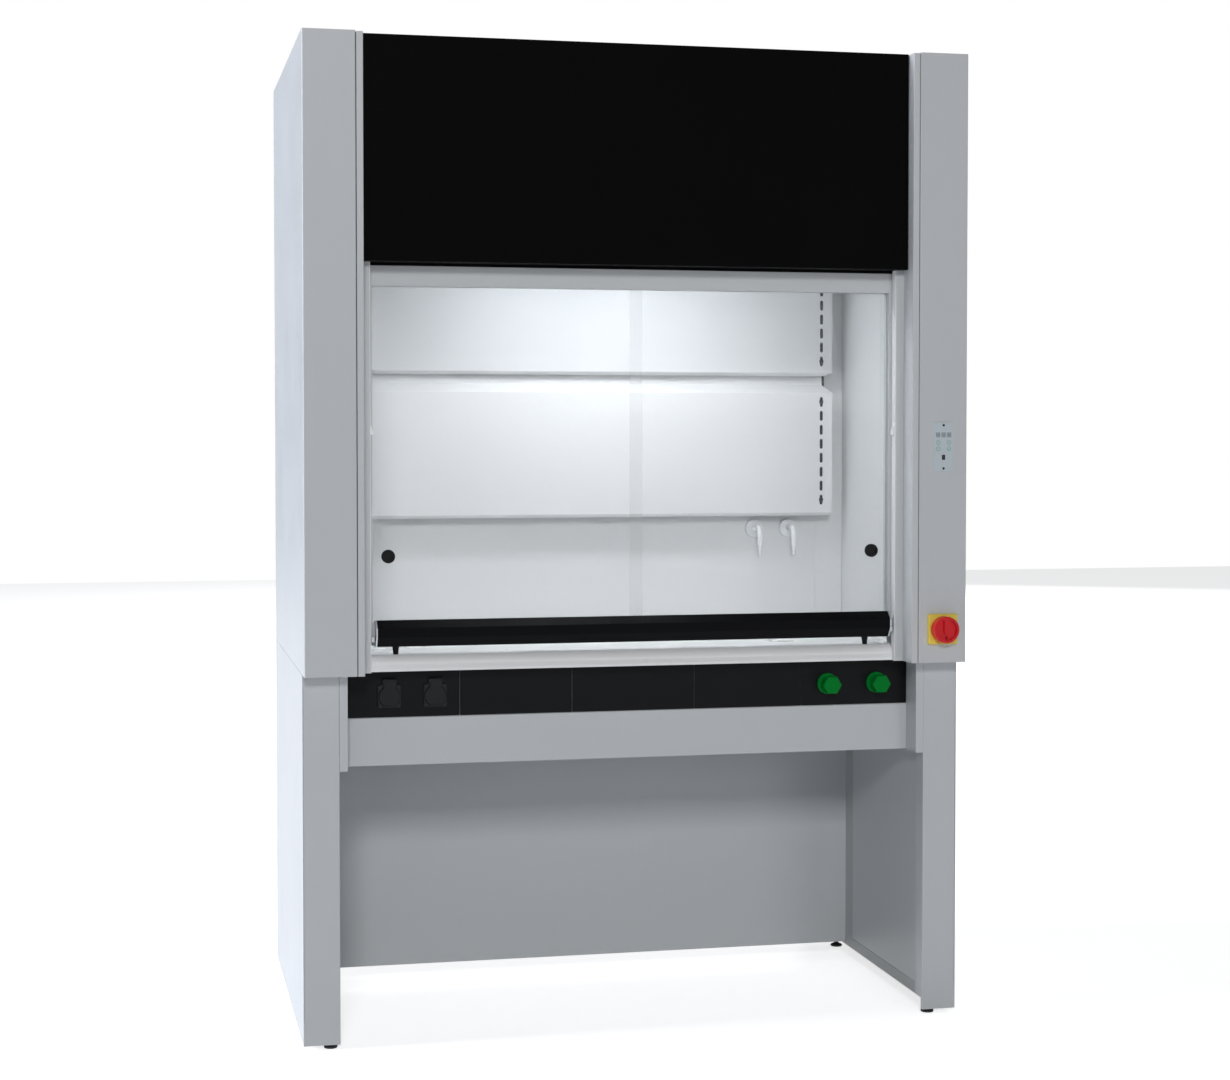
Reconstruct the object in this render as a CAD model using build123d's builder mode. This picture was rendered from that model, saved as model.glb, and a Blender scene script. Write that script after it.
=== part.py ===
from build123d import *
import math
import os

# Walk-up laboratory fume hood on two side stands. Millimetres, +Z up, X to the right as seen from
# the front. The origin lies on the floor, in the middle of the footprint. Depths are measured from
# the front faces of the columns, backwards, and turned into Y by the value front.

# Overall sizes
hood_width = 1500
hood_depth = 900
hood_height = 2200
stand_height = 820

# Sheet metal and clearances
sheet = 1.5
bend = 2.5
tube_wall = 2
seat_gap = 0.3
seam = 1.0
shaft_gap = 0.05
slide_gap = 0.4

# Stands
stand_width = 80
stand_set_back = 58
post_depth = 48
floor_gap = 10
rail_bottom = 36
rail_height = 26
skirt_depth = 9
mid_post_depth = 56
rear_post_size = 40
top_rail_height = 38
return_width = 30
foot_inset = 20
foot_radius = 15
foot_stud_radius = 5
foot_travel = 15
foot_boss = 20
rear_foot_depth = 745

# Leg space
knee_depth = 612
knee_bottom = 43
knee_flange = 30

# Apron and service strip
apron_depth = 122
apron_bottom = 608
apron_back = 160
cheek_width = 18
strip_bottom = 715
panel_thickness = 2
centre_panel_width = 284
panel_seam = 0.7

# Power sockets
socket_pitch = 102
socket_from_end = 97.5
socket_rise = 46
socket_flange = 51
socket_flange_thickness = 5
socket_well_radius = 19.75
socket_well_depth = 17.5
socket_body_radius = 21.5
socket_body_length = 44
lid_radius = 23.5
lid_foot_width = 26
lid_thickness = 4.2
lid_tongue_width = 24
hinge_rise = 36
hinge_pin_radius = 1.5
hinge_knuckle_radius = 3.5
hinge_block_width = 31

# Service valves
valve_pitch = 118.5
valve_from_end = 74.5
valve_rise = 50
valve_flange_radius = 24
valve_flange_thickness = 8
valve_body_radius = 9
valve_spindle_radius = 4
knob_corner_radius = 22
knob_length = 35
knob_neck_radius = 17

# Worktop
worktop_height = 856
worktop_thickness = 30
worktop_ledge = 15
sill_depth = 73
sill_facet_depth = 76
sill_facet_drop = 20
sill_top_depth = 90
sill_drop = 35
dish_drop = 5
dish_margin = 22

# Columns and sash posts
post_front_width = 14.5
post_inner_x = 620
guide_inner_x = 600
guide_step_depth = 60
guide_depth = 84.5
guide_strip = 1.5
column_gap = 1.5
cover_return = 12
cover_inner_return = 50

# Fascia
fascia_height = 486.5
fascia_set_back = 30
fascia_bend = 6
fascia_side_flange = 22
fascia_lip = 6

# Sash frame
sash_depth = 87
sash_thickness = 34
stile_inner_x = 593.5
stile_width = 34
sash_gap = 20
stile_rise = 21
bottom_rail_height = 50
top_rail_drop = 50
top_rail_height = 58
sash_travel = 440
track_lip = 5.5
track_depth = 9
pane_thickness = 5
pane_edge_gap = 0.5
pane_gap = 3.5
pane_overlap = 26.5
pull_radius = 15
pull_rise = 196
pull_from_edge = 35

# Sash handle
handle_length = 1173
handle_cap = 3
handle_rise = 58
handle_front_depth = 52
handle_facet_rise = 42
handle_facet_drop = 21
handle_ridge_depth = 70

# Sash buffers
buffer_x = 542
buffer_depth = 101
buffer_top_radius = 8
buffer_tip_radius = 5.2

# Catches on the sash
catch_rise = 22
catch_height = 11
catch_depth = 20

# Sash stops
stop_depth = 72
stop_width = 9
stop_top = 1369
stop_reach = 6
stop_pin_radius = 1.5
stop_slot_drop = 3

# Chamber
liner_x = 655
liner_bend_depth = 322
liner_front_x = 626
liner_lip_x = 604
liner_lip_depth = 124
liner_top = 1790
back_wall_depth = 607
ceiling_height = 1778

# Baffles
baffle_depth = 557
baffle_half_width = 612
baffle_gap_height = 1493
upper_baffle_lean_height = 1700
upper_baffle_top_depth = 430
upper_flange = 8
upper_corner_cut = 19
lower_baffle_bottom = 1136
lower_flange = 7
lower_baffle_bend = 1442
lower_baffle_step = 21
slot_x = 584
slot_pitch = 35
slot_width = 8
slot_length = 25
key_radius = 6
key_from_gap = 28.5
lower_key_from_bend = 21.5
hanger_thickness = 1.5
hanger_width = 43
stud_radius = 3.5

# Lamp
lamp_half_length = 330
lamp_front_depth = 190
lamp_width = 140
lamp_height = 70
lamp_rim = 12
diffuser_thickness = 4

# Exhaust
plenum_half_width = 200
plenum_front_depth = 345
plenum_length = 258
plenum_height = 160
collar_radius = 125
collar_drop = 10
outlet_front_depth = 446
outlet_margin = 10

# Hose nozzles
nozzle_pitch = 88
nozzle_mid_x = 467
nozzle_height = 1103.5
nozzle_reach = 58
nozzle_bend = 26
nozzle_radius = 6.5
nozzle_drop = 41
barb_length = 29
barb_count = 3
barb_radius = 4.6
barb_neck_radius = 3
nozzle_flange_radius = 23.5
nozzle_flange_thickness = 7
nozzle_stem_length = 34

# Sash counterbalance
pulley_radius = 72
pulley_width = 12
groove_depth = 4
cable_radius = 1.5
cable_x = 690
shaft_radius = 6
shaft_drop = 90
bearing_thickness = 6
bearing_width = 44
weight_width = 56
weight_depth = 57.5
weight_length = 700
weight_gap = 48
bracket_plate = 5
bracket_height = 50
bracket_arm_rise = 54

# Top frame
frame_tube = 40
frame_drop = 5

# Control plate
control_x = 693.3
control_height = 1311.3
control_width = 45
control_length = 110
control_thickness = 2.5
control_body_depth = 26
window_size = 10
window_pitch = 13.2
window_rise = 27.2
key_cap_radius = 5
key_pitch_x = 25.8
key_pitch_z = 14.3
key_rise = 2.5
key_travel = 1
rocker_width = 8.2
rocker_length = 13.2
rocker_drop = 23.7
rocker_radius = 3.2
screw_head_radius = 2.6
control_screw_inset = 6

# Main switch
switch_x = 692
switch_rise = 77
switch_plate_size = 69
switch_plate_thickness = 10
switch_knob_radius = 30
switch_knob_depth = 23
switch_knob_gap = 1
switch_recess = 7
switch_ring = 6
grip_width = 12
grip_length = 37
switch_spindle_radius = 5
switch_body_size = 44
switch_body_depth = 40

# Places worked out from the sizes above
socket_height = strip_bottom + socket_rise
valve_height = strip_bottom + valve_rise
switch_height = stand_height + switch_rise
fascia_bottom = hood_height - fascia_height
sash_bottom = worktop_height + sash_gap
stile_bottom = sash_bottom + stile_rise
bottom_rail_top = sash_bottom + bottom_rail_height
top_rail_bottom = fascia_bottom - top_rail_drop
pull_height = sash_bottom + pull_rise
handle_top = sash_bottom + handle_rise
handle_facet_top = sash_bottom + handle_facet_rise
handle_facet_bottom = handle_facet_top - handle_facet_drop
catch_top = sash_bottom + catch_rise
bracket_arm_height = sash_bottom + bracket_arm_rise
shaft_height = hood_height - shaft_drop
weight_top = shaft_height - pulley_radius - weight_gap
switch_reach = switch_plate_thickness + switch_knob_gap + switch_knob_depth
front = -(hood_depth - switch_reach) / 2
back = front + hood_depth
half_width = hood_width / 2
skin_x = half_width - sheet
stand_inner_x = half_width - stand_width
stand_front = front + stand_set_back
stand_post_back = stand_front + post_depth
mid_post_back = front + knee_depth
mid_post_front = mid_post_back - mid_post_depth
rail_top = rail_bottom + rail_height
stand_top = stand_height - 2
post_outer_x = post_inner_x + post_front_width
cover_inner_x = post_outer_x + column_gap
apron_y = front + apron_depth
apron_back_y = front + apron_back
apron_half = stand_inner_x - cheek_width - seat_gap
strip_back_y = apron_y + panel_thickness
strip_top = stand_height - 1
sash_front = front + sash_depth
sash_back = sash_front + sash_thickness
sash_top = top_rail_bottom + top_rail_height
stile_outer_x = stile_inner_x + stile_width
liner_lip_y = front + liner_lip_depth
back_wall_y = front + back_wall_depth
worktop_bottom = worktop_height - worktop_thickness
shaft_y = front + sash_depth + sash_thickness / 2 + pulley_radius
cable_front_y = shaft_y - pulley_radius
cable_back_y = shaft_y + pulley_radius


def folded(points, wall, radius, side):
    """Closed profile of a sheet folded along the points, with its thickness to one side."""
    with BuildSketch() as profile:
        with BuildLine():
            FilletPolyline(*points, radius=radius)
            offset(amount=wall, side=side)
        make_face()
    return profile.sketch


def save(piece, name):
    piece.part.label = name
    export_step(piece.part, f"parts/{name}.step")


os.makedirs("parts", exist_ok=True)


# Stand posts: square tubes whose front skin hangs down past the tube as a skirt
foot_x = stand_inner_x + foot_inset
front_foot_y = stand_front + foot_inset
rear_foot_y = front + rear_foot_depth
post_mid_x = (stand_inner_x + skin_x) / 2
post_mid_y = (stand_front + stand_post_back) / 2
post_width = skin_x - stand_inner_x

with BuildPart() as front_posts:
    with BuildSketch(Plane.XY.offset(rail_bottom)):
        with Locations((post_mid_x, post_mid_y)):
            RectangleRounded(post_width, post_depth, tube_wall)
            Rectangle(post_width - 2 * tube_wall, post_depth - 2 * tube_wall, mode=Mode.SUBTRACT)
    extrude(amount=stand_top - rail_bottom)
    with BuildSketch(Plane.XY.offset(rail_bottom)):
        with Locations((post_mid_x, post_mid_y)):
            Rectangle(post_width - tube_wall, post_depth - tube_wall)
    extrude(amount=foot_boss)
    with BuildSketch(Plane.XY.offset(floor_gap)):
        skirt = [
            (stand_inner_x, stand_front + skirt_depth),
            (stand_inner_x, stand_front),
            (skin_x, stand_front),
        ]
        add(folded(skirt, tube_wall, tube_wall, Side.LEFT))
    extrude(amount=rail_top - floor_gap)
    with BuildSketch(Plane.XY.offset(rail_bottom)):
        with Locations((foot_x, front_foot_y)):
            Circle(foot_stud_radius + shaft_gap)
    extrude(amount=foot_boss, mode=Mode.SUBTRACT)
    mirror(about=Plane.YZ)
save(front_posts, "front_posts")

# Rails and rear posts of the stands, as separate tubes that meet at their ends
rail_mid_x = post_mid_x
rail_width = post_width - 2 * seat_gap
rail_front = stand_post_back + seat_gap
rail_back = back - sheet - seat_gap
top_rail_bottom_z = stand_top - top_rail_height
ledge_inner_x = liner_x - worktop_ledge
ledge_back_y = mid_post_back - sheet


def tube_along_y(x, z, width, height, y_from, y_to):
    """A rectangular tube between two depths, with its section centred at x and z."""
    with BuildPart() as tube:
        with BuildSketch(Plane.XZ.offset(-y_from)):
            with Locations((x, z)):
                Rectangle(width, height)
                Rectangle(width - 2 * tube_wall, height - 2 * tube_wall, mode=Mode.SUBTRACT)
        extrude(amount=y_from - y_to)
    return tube.part


def tube_along_z(x, y, width, depth, z_from, z_to):
    """A rectangular tube between two heights, with its section centred at x and y."""
    with BuildPart() as tube:
        with BuildSketch(Plane.XY.offset(z_from)):
            with Locations((x, y)):
                Rectangle(width, depth)
                Rectangle(width - 2 * tube_wall, depth - 2 * tube_wall, mode=Mode.SUBTRACT)
        extrude(amount=z_to - z_from)
    return tube.part


def tube_along_x(y, z, depth, height, half_length):
    """A rectangular tube across the hood, with its section centred at y and z."""
    with BuildPart() as tube:
        with BuildSketch(Plane.YZ.offset(-half_length)):
            with Locations((y, z)):
                Rectangle(depth, height)
                Rectangle(depth - 2 * tube_wall, height - 2 * tube_wall, mode=Mode.SUBTRACT)
        extrude(amount=2 * half_length)
    return tube.part


with BuildPart() as leg_frames:
    add(tube_along_y(rail_mid_x, rail_bottom + rail_height / 2, rail_width, rail_height,
                     rail_front, rail_back))
    with BuildSketch(Plane.XY.offset(rail_bottom)):
        with Locations((post_mid_x, rear_foot_y)):
            Rectangle(rail_width - tube_wall, rail_height)
    extrude(amount=rail_height)
    with BuildSketch(Plane.XY.offset(rail_bottom)):
        with Locations((foot_x, rear_foot_y)):
            Circle(foot_stud_radius + shaft_gap)
    extrude(amount=rail_height, mode=Mode.SUBTRACT)
    add(tube_along_y(rail_mid_x, stand_top - top_rail_height / 2, rail_width, top_rail_height,
                     rail_front, rail_back))
    add(tube_along_z(rail_mid_x, (mid_post_front + mid_post_back) / 2, rail_width, mid_post_depth,
                     rail_top + seat_gap, top_rail_bottom_z - seat_gap))
    add(tube_along_z(rail_mid_x, rail_back - rear_post_size / 2, rail_width, rear_post_size,
                     rail_top + seat_gap, top_rail_bottom_z - seat_gap))
    with BuildSketch(Plane.XY.offset(stand_top - 1)):
        with Locations(((ledge_inner_x + post_mid_x) / 2, (apron_back_y + ledge_back_y) / 2)):
            Rectangle(post_mid_x - ledge_inner_x, ledge_back_y - apron_back_y - 2 * seat_gap)
    extrude(amount=worktop_bottom - seat_gap - stand_top + 1)
    mirror(about=Plane.YZ)
    add(tube_along_x(rail_back - rear_post_size / 2, stand_top - top_rail_height / 2,
                     rear_post_size, top_rail_height, stand_inner_x))
save(leg_frames, "leg_frames")

# Skins of the stands: the outer one turns in at the back, the inner one fills the frame
with BuildPart() as leg_skins:
    with BuildSketch(Plane.XY.offset(floor_gap)):
        outer_skin = [
            (half_width, stand_front),
            (half_width, back),
            (half_width - return_width, back),
        ]
        add(folded(outer_skin, sheet, bend, Side.LEFT))
    extrude(amount=stand_height - seam - floor_gap)
    inner_skin_front = stand_post_back + seat_gap
    inner_skin_back = mid_post_front - seat_gap
    with BuildSketch(Plane.XY.offset(rail_top + seam)):
        with Locations((stand_inner_x + sheet / 2 + seat_gap, (inner_skin_front + inner_skin_back) / 2)):
            Rectangle(sheet, inner_skin_back - inner_skin_front)
    extrude(amount=top_rail_bottom_z - seam - rail_top - seam)
    mirror(about=Plane.YZ)
save(leg_skins, "leg_skins")


def foot(name, x, y, stud_top):
    """A levelling foot: a domed disc on a threaded stud."""
    with BuildPart() as piece:
        with BuildSketch(Plane.XZ.offset(-y)):
            with BuildLine():
                Polyline(
                    (x, 0),
                    (x + foot_radius - 1, 0),
                    (x + foot_radius, 1),
                    (x + foot_radius, 4),
                    (x + foot_stud_radius + 3, 8),
                    (x + foot_stud_radius, 9),
                    (x + foot_stud_radius, stud_top),
                    (x, stud_top),
                    close=True,
                )
            make_face()
        revolve(axis=Axis((x, y, 0), (0, 0, 1)))
    save(piece, name)


foot("foot_front_left", -foot_x, front_foot_y, rail_bottom + foot_boss)
foot("foot_front_right", foot_x, front_foot_y, rail_bottom + foot_boss)
foot("foot_rear_left", -foot_x, rear_foot_y, rail_bottom + rail_height)
foot("foot_rear_right", foot_x, rear_foot_y, rail_bottom + rail_height)

# Knee panel: a flat sheet turned back along its lower edge
knee_half = stand_inner_x - seat_gap
with BuildPart() as knee_panel:
    with BuildSketch(Plane.YZ.offset(-knee_half)):
        knee_fold = [
            (mid_post_back - sheet, stand_top),
            (mid_post_back - sheet, knee_bottom),
            (mid_post_back - sheet + knee_flange, knee_bottom),
        ]
        add(folded(knee_fold, sheet, bend, Side.LEFT))
    extrude(amount=2 * knee_half)
save(knee_panel, "knee_panel")

# Apron: a folded channel with a set-back upper part, between two end cheeks
strip_left = -apron_half
socket_places = [strip_left + socket_from_end + i * socket_pitch for i in range(2)]
valve_places = [apron_half - valve_from_end - i * valve_pitch for i in (1, 0)]
step = panel_thickness + seat_gap

with BuildPart() as apron:
    with BuildSketch(Plane.YZ.offset(-apron_half)):
        apron_fold = [
            (apron_back_y, apron_bottom),
            (apron_y, apron_bottom),
            (apron_y, strip_bottom - sheet),
            (apron_y + step, strip_bottom - sheet),
            (apron_y + step, stand_top),
            (apron_back_y, stand_top),
        ]
        add(folded(apron_fold, sheet, sheet / 2, Side.RIGHT))
    extrude(amount=2 * apron_half)
    with BuildSketch(Plane.XZ.offset(-apron_y)):
        with Locations(*[(x, socket_height) for x in socket_places]):
            Circle(socket_body_radius + seat_gap)
        with Locations(*[(x, valve_height) for x in valve_places]):
            Circle(valve_body_radius + seat_gap)
    extrude(amount=-3 * step, mode=Mode.SUBTRACT)
    for side in (-1, 1):
        cheek_x = side * (stand_inner_x - cheek_width / 2)
        add(tube_along_z(cheek_x, (stand_front + apron_back_y) / 2, cheek_width - seat_gap,
                         apron_back_y - stand_front, apron_bottom - 1, stand_top))
save(apron, "apron")

# Service strip: a wide middle panel with two equal panels on each side
side_panel_width = (2 * apron_half - centre_panel_width) / 4
panel_edges = [strip_left + i * side_panel_width for i in range(3)]
panel_edges += [apron_half - i * side_panel_width for i in (2, 1, 0)]
with BuildPart() as service_panels:
    with BuildSketch(Plane.XZ.offset(-apron_y)):
        for left, right in zip(panel_edges, panel_edges[1:]):
            with Locations(((left + right) / 2, (strip_bottom + strip_top) / 2)):
                RectangleRounded(right - left - panel_seam, strip_top - strip_bottom, 1.5)
        with Locations(*[(x, socket_height) for x in socket_places]):
            Circle(socket_body_radius + seat_gap, mode=Mode.SUBTRACT)
        with Locations(*[(x, valve_height) for x in valve_places]):
            Circle(valve_body_radius + seat_gap, mode=Mode.SUBTRACT)
    extrude(amount=-panel_thickness)
save(service_panels, "service_panels")

# Power sockets: a square flange with a round well, and two ears for the lid hinge
flange_front_y = apron_y - socket_flange_thickness
hinge_z = socket_height + hinge_rise
hinge_y = flange_front_y - hinge_knuckle_radius + 1
ear_width = (hinge_block_width - lid_tongue_width) / 2 - seat_gap
screw_spread = socket_flange / 2 - 5
with BuildPart() as socket_bodies:
    for x in socket_places:
        with BuildSketch(Plane.XZ.offset(-apron_y)):
            with Locations((x, socket_height)):
                RectangleRounded(socket_flange, socket_flange, 4)
            block_top = hinge_z - hinge_knuckle_radius - seat_gap
            with Locations((x, (socket_height + block_top) / 2)):
                Rectangle(hinge_block_width, block_top - socket_height)
        extrude(amount=socket_flange_thickness)
        with BuildSketch(Plane.XZ.offset(-apron_y)):
            with Locations((x, socket_height)):
                Circle(socket_body_radius)
        extrude(amount=-socket_body_length)
        for side in (-1, 1):
            ear_x = x + side * (hinge_block_width - ear_width) / 2
            with BuildSketch(Plane.YZ.offset(ear_x - ear_width / 2)):
                with Locations((hinge_y, hinge_z)):
                    Circle(hinge_knuckle_radius)
                with Locations(((hinge_y + flange_front_y) / 2 + 1, hinge_z - 4)):
                    Rectangle(flange_front_y - hinge_y + 2, 2 * hinge_knuckle_radius)
            extrude(amount=ear_width)
        with BuildSketch(Plane.YZ.offset(x - hinge_block_width)):
            with Locations((hinge_y, hinge_z)):
                Circle(hinge_pin_radius + shaft_gap)
        extrude(amount=2 * hinge_block_width, mode=Mode.SUBTRACT)
        with BuildSketch(Plane.XZ.offset(-flange_front_y)):
            with Locations((x, socket_height)):
                Circle(socket_well_radius)
        extrude(amount=-socket_well_depth, mode=Mode.SUBTRACT)
        with BuildSketch(Plane.XZ.offset(-flange_front_y)):
            with Locations((x - 9.5, socket_height), (x + 9.5, socket_height)):
                Circle(2.5)
        extrude(amount=-socket_well_depth - 15, mode=Mode.SUBTRACT)
save(socket_bodies, "socket_bodies")


def socket_lid(name, x):
    """A spring lid with a knuckle and pin that turn in the ears of the socket."""
    lid_back_y = flange_front_y - seat_gap
    with BuildPart() as lid:
        with BuildSketch(Plane.XZ.offset(-lid_back_y)):
            with Locations((x, socket_height)):
                Circle(lid_radius)
            with Locations((x, (socket_height + hinge_z) / 2)):
                Rectangle(lid_tongue_width, hinge_z - socket_height)
            with Locations((x, socket_height - lid_radius / 2)):
                Rectangle(lid_foot_width, lid_radius)
        extrude(amount=lid_thickness)
        chamfer(lid.faces().sort_by(Axis.Y)[0].edges().filter_by(GeomType.CIRCLE), 1)
        with BuildSketch(Plane.YZ.offset(x - lid_tongue_width / 2)):
            with Locations((hinge_y, hinge_z)):
                Circle(hinge_knuckle_radius)
        extrude(amount=lid_tongue_width)
        with BuildSketch(Plane.YZ.offset(x - hinge_block_width / 2)):
            with Locations((hinge_y, hinge_z)):
                Circle(hinge_pin_radius)
        extrude(amount=hinge_block_width)
        with BuildSketch(Plane.XZ.offset(-lid_back_y)):
            with Locations((x, socket_height - lid_radius + 3)):
                Rectangle(lid_tongue_width, 3)
        extrude(amount=lid_thickness + 2)
    save(lid, name)


socket_lid("socket_lid_left", socket_places[0])
socket_lid("socket_lid_right", socket_places[1])

# Service valves: a round flange on the strip, the body behind it and a spindle
valve_face_y = apron_y - valve_flange_thickness
with BuildPart() as valve_bodies:
    for x in valve_places:
        with BuildSketch(Plane.XZ.offset(-apron_y)):
            with Locations((x, valve_height)):
                Circle(valve_flange_radius)
        extrude(amount=valve_flange_thickness)
        with BuildSketch(Plane.XZ.offset(-apron_y)):
            with Locations((x, valve_height)):
                Circle(valve_body_radius)
        extrude(amount=-socket_body_length)
        with BuildSketch(Plane.XZ.offset(-valve_face_y)):
            with Locations((x, valve_height)):
                Circle(valve_spindle_radius)
        extrude(amount=knob_length * 0.6)
    rims = valve_bodies.edges().filter_by(GeomType.CIRCLE)
    chamfer(rims.filter_by(lambda e: abs(e.radius - valve_flange_radius) < 0.1).sort_by(Axis.Y)[:2], 1.5)
save(valve_bodies, "valve_bodies")


def valve_knob(name, x):
    """A tap knob: a round neck that opens out into a six-sided grip."""
    neck_y = valve_face_y - seat_gap
    with BuildPart() as knob:
        with BuildSketch(Plane.XZ.offset(-neck_y)):
            with Locations((x, valve_height)):
                Circle(knob_neck_radius)
        extrude(amount=knob_length * 0.45, taper=-6)
        with BuildSketch(Plane.XZ.offset(-neck_y + knob_length * 0.45)):
            with Locations((x, valve_height)):
                RegularPolygon(knob_corner_radius, 6)
        extrude(amount=knob_length * 0.55)
        chamfer(knob.faces().sort_by(Axis.Y)[0].edges(), 1.5)
        with BuildSketch(Plane.XZ.offset(-neck_y)):
            with Locations((x, valve_height)):
                Circle(valve_spindle_radius + shaft_gap)
        extrude(amount=knob_length * 0.65, mode=Mode.SUBTRACT)
    save(knob, name)


valve_knob("valve_knob_left", valve_places[0])
valve_knob("valve_knob_right", valve_places[1])

# Worktop: narrow between the sash posts at the front, full width behind them, with a dished face
sill_half = guide_inner_x - seat_gap
worktop_half = liner_x - seat_gap
worktop_back = back_wall_y - seat_gap
with BuildPart() as worktop:
    with BuildSketch(Plane.YZ.offset(-sill_half)):
        with BuildLine():
            sill = Polyline(
                (front + sill_depth, worktop_height - sill_drop),
                (front + sill_depth, worktop_height - sill_drop + 6),
                (front + sill_facet_depth, worktop_height - sill_facet_drop),
            )
            crest = ThreePointArc(
                sill @ 1,
                (front + sill_facet_depth + 4.5, worktop_height - sill_facet_drop / 2.6),
                (front + sill_top_depth, worktop_height),
            )
            Polyline(
                crest @ 1,
                (liner_lip_y, worktop_height),
                (liner_lip_y, worktop_bottom),
                (apron_y - 2, worktop_bottom),
                (apron_y - 8, worktop_height - sill_drop),
                (front + sill_depth, worktop_height - sill_drop),
            )
        make_face()
    extrude(amount=2 * sill_half)
    with BuildSketch(Plane.XY.offset(worktop_bottom)):
        with Locations((0, (liner_lip_y + worktop_back) / 2)):
            Rectangle(2 * worktop_half, worktop_back - liner_lip_y)
    extrude(amount=worktop_thickness)
    dish_front = liner_lip_y + dish_margin
    dish_back = worktop_back - dish_margin
    with BuildSketch(Plane.XY.offset(worktop_height)):
        with Locations((0, (dish_front + dish_back) / 2)):
            RectangleRounded(2 * (worktop_half - dish_margin), dish_back - dish_front, 12)
    extrude(amount=-dish_drop, mode=Mode.SUBTRACT)
save(worktop, "worktop")

# Column covers: a front face with returns at both sides and a floor, cut for the switches
with BuildPart() as column_covers:
    with BuildSketch(Plane.XY.offset(stand_height)):
        cover_fold = [
            (cover_inner_x, front + cover_inner_return),
            (cover_inner_x, front),
            (half_width, front),
            (half_width, front + cover_return),
        ]
        add(folded(cover_fold, sheet, bend, Side.LEFT))
    extrude(amount=hood_height - stand_height)
    with BuildSketch(Plane.XY.offset(stand_height)):
        with Locations(((cover_inner_x + skin_x) / 2, front + stand_set_back / 2)):
            Rectangle(skin_x - cover_inner_x - 2 * seat_gap, stand_set_back - sheet - 2 * seat_gap)
    extrude(amount=sheet)
    mirror(about=Plane.YZ)
    with BuildSketch(Plane.XZ.offset(-front)):
        with Locations((control_x, control_height)):
            Rectangle(control_width - 6, control_length - 20)
        with Locations((switch_x, switch_height)):
            Circle(switch_body_size / 2)
    extrude(amount=-2 * sheet, mode=Mode.SUBTRACT)
save(column_covers, "column_covers")

# Sash posts: stepped tubes, open in front of the sash and cut for the spring tongues
post_bottom = stand_height
post_top = hood_height - 2
stop_bottom = stop_top - 30
guide_face_x = guide_inner_x + guide_strip
stop_slot_bottom = stop_bottom - stop_slot_drop
stop_slot_height = stop_top - stop_slot_bottom
with BuildPart() as sash_posts:
    with BuildSketch(Plane.XY.offset(post_bottom)) as post_plan:
        Polygon(
            (post_inner_x, front),
            (post_outer_x, front),
            (post_outer_x, front + guide_depth),
            (guide_face_x, front + guide_depth),
            (guide_face_x, front + guide_step_depth),
            (post_inner_x, front + guide_step_depth),
            align=None,
        )
        fillet(post_plan.vertices(), 1)
        offset(amount=-sheet, mode=Mode.SUBTRACT)
    extrude(amount=post_top - post_bottom)
    with BuildSketch(Plane.YZ.offset(guide_inner_x)):
        with Locations((front + stop_depth, stop_slot_bottom + stop_slot_height / 2)):
            Rectangle(stop_width + 2 * seat_gap, stop_slot_height)
    extrude(amount=guide_strip + 2 * sheet, mode=Mode.SUBTRACT)
    mirror(about=Plane.YZ)
save(sash_posts, "sash_posts")

# Slide strips on the inner faces of the posts, slotted for the spring tongues
with BuildPart() as sash_guides:
    with BuildSketch(Plane.YZ.offset(guide_inner_x)):
        strip_front_y = front + guide_step_depth + sheet
        with Locations(((strip_front_y + front + guide_depth - sheet) / 2, (post_bottom + post_top) / 2)):
            Rectangle(guide_depth - guide_step_depth - 2 * sheet, post_top - post_bottom)
        with Locations((front + stop_depth, stop_slot_bottom + stop_slot_height / 2)):
            Rectangle(stop_width + 2 * seat_gap, stop_slot_height, mode=Mode.SUBTRACT)
    extrude(amount=guide_strip)
    mirror(about=Plane.YZ)
save(sash_guides, "sash_guides")


def sash_stop(name, side):
    """A spring tongue with a sloped back and a flat underside, hung on a pin in the post."""
    pin_x = guide_inner_x + 12
    with BuildPart() as tongue:
        with BuildSketch(Plane.XZ.offset(-(front + stop_depth - stop_width / 2))):
            Polygon(
                (side * (guide_inner_x - stop_reach), stop_bottom),
                (side * (guide_inner_x - stop_reach), stop_bottom + 6),
                (side * (guide_inner_x + seat_gap), stop_top - 4),
                (side * (pin_x - 2.5), stop_top + 8),
                (side * (pin_x + 2.5), stop_top + 8),
                (side * (guide_inner_x + 7), stop_top - 6),
                (side * (guide_inner_x + 4), stop_bottom),
                align=None,
            )
        extrude(amount=-stop_width)
        with BuildSketch(Plane.XZ.offset(-(front + guide_step_depth + sheet + seat_gap))):
            with Locations((side * pin_x, stop_top + 8)):
                Circle(stop_pin_radius + 1.5)
        extrude(amount=-(guide_depth - guide_step_depth - 2 * sheet - 2 * seat_gap))
    save(tongue, name)


sash_stop("sash_stop_left", -1)
sash_stop("sash_stop_right", 1)

# Outer side panels, turned in at the back
with BuildPart() as side_panels:
    with BuildSketch(Plane.XY.offset(stand_height)):
        side_fold = [
            (half_width, front + cover_return + seat_gap),
            (half_width, back),
            (half_width - return_width, back),
        ]
        add(folded(side_fold, sheet, bend, Side.LEFT))
    extrude(amount=hood_height - stand_height)
    mirror(about=Plane.YZ)
save(side_panels, "side_panels")

# Inner liner walls: a lip behind the sash, a slanted front part and a straight wall
with BuildPart() as liners:
    with BuildSketch(Plane.XY.offset(worktop_height + seat_gap)):
        liner_fold = [
            (liner_lip_x, liner_lip_y + sheet),
            (liner_front_x, liner_lip_y + sheet),
            (liner_x, front + liner_bend_depth),
            (liner_x, back_wall_y + sheet),
        ]
        add(folded(liner_fold, sheet, bend, Side.RIGHT))
    extrude(amount=liner_top - worktop_height - seat_gap)
    mirror(about=Plane.YZ)
save(liners, "liners")

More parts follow.
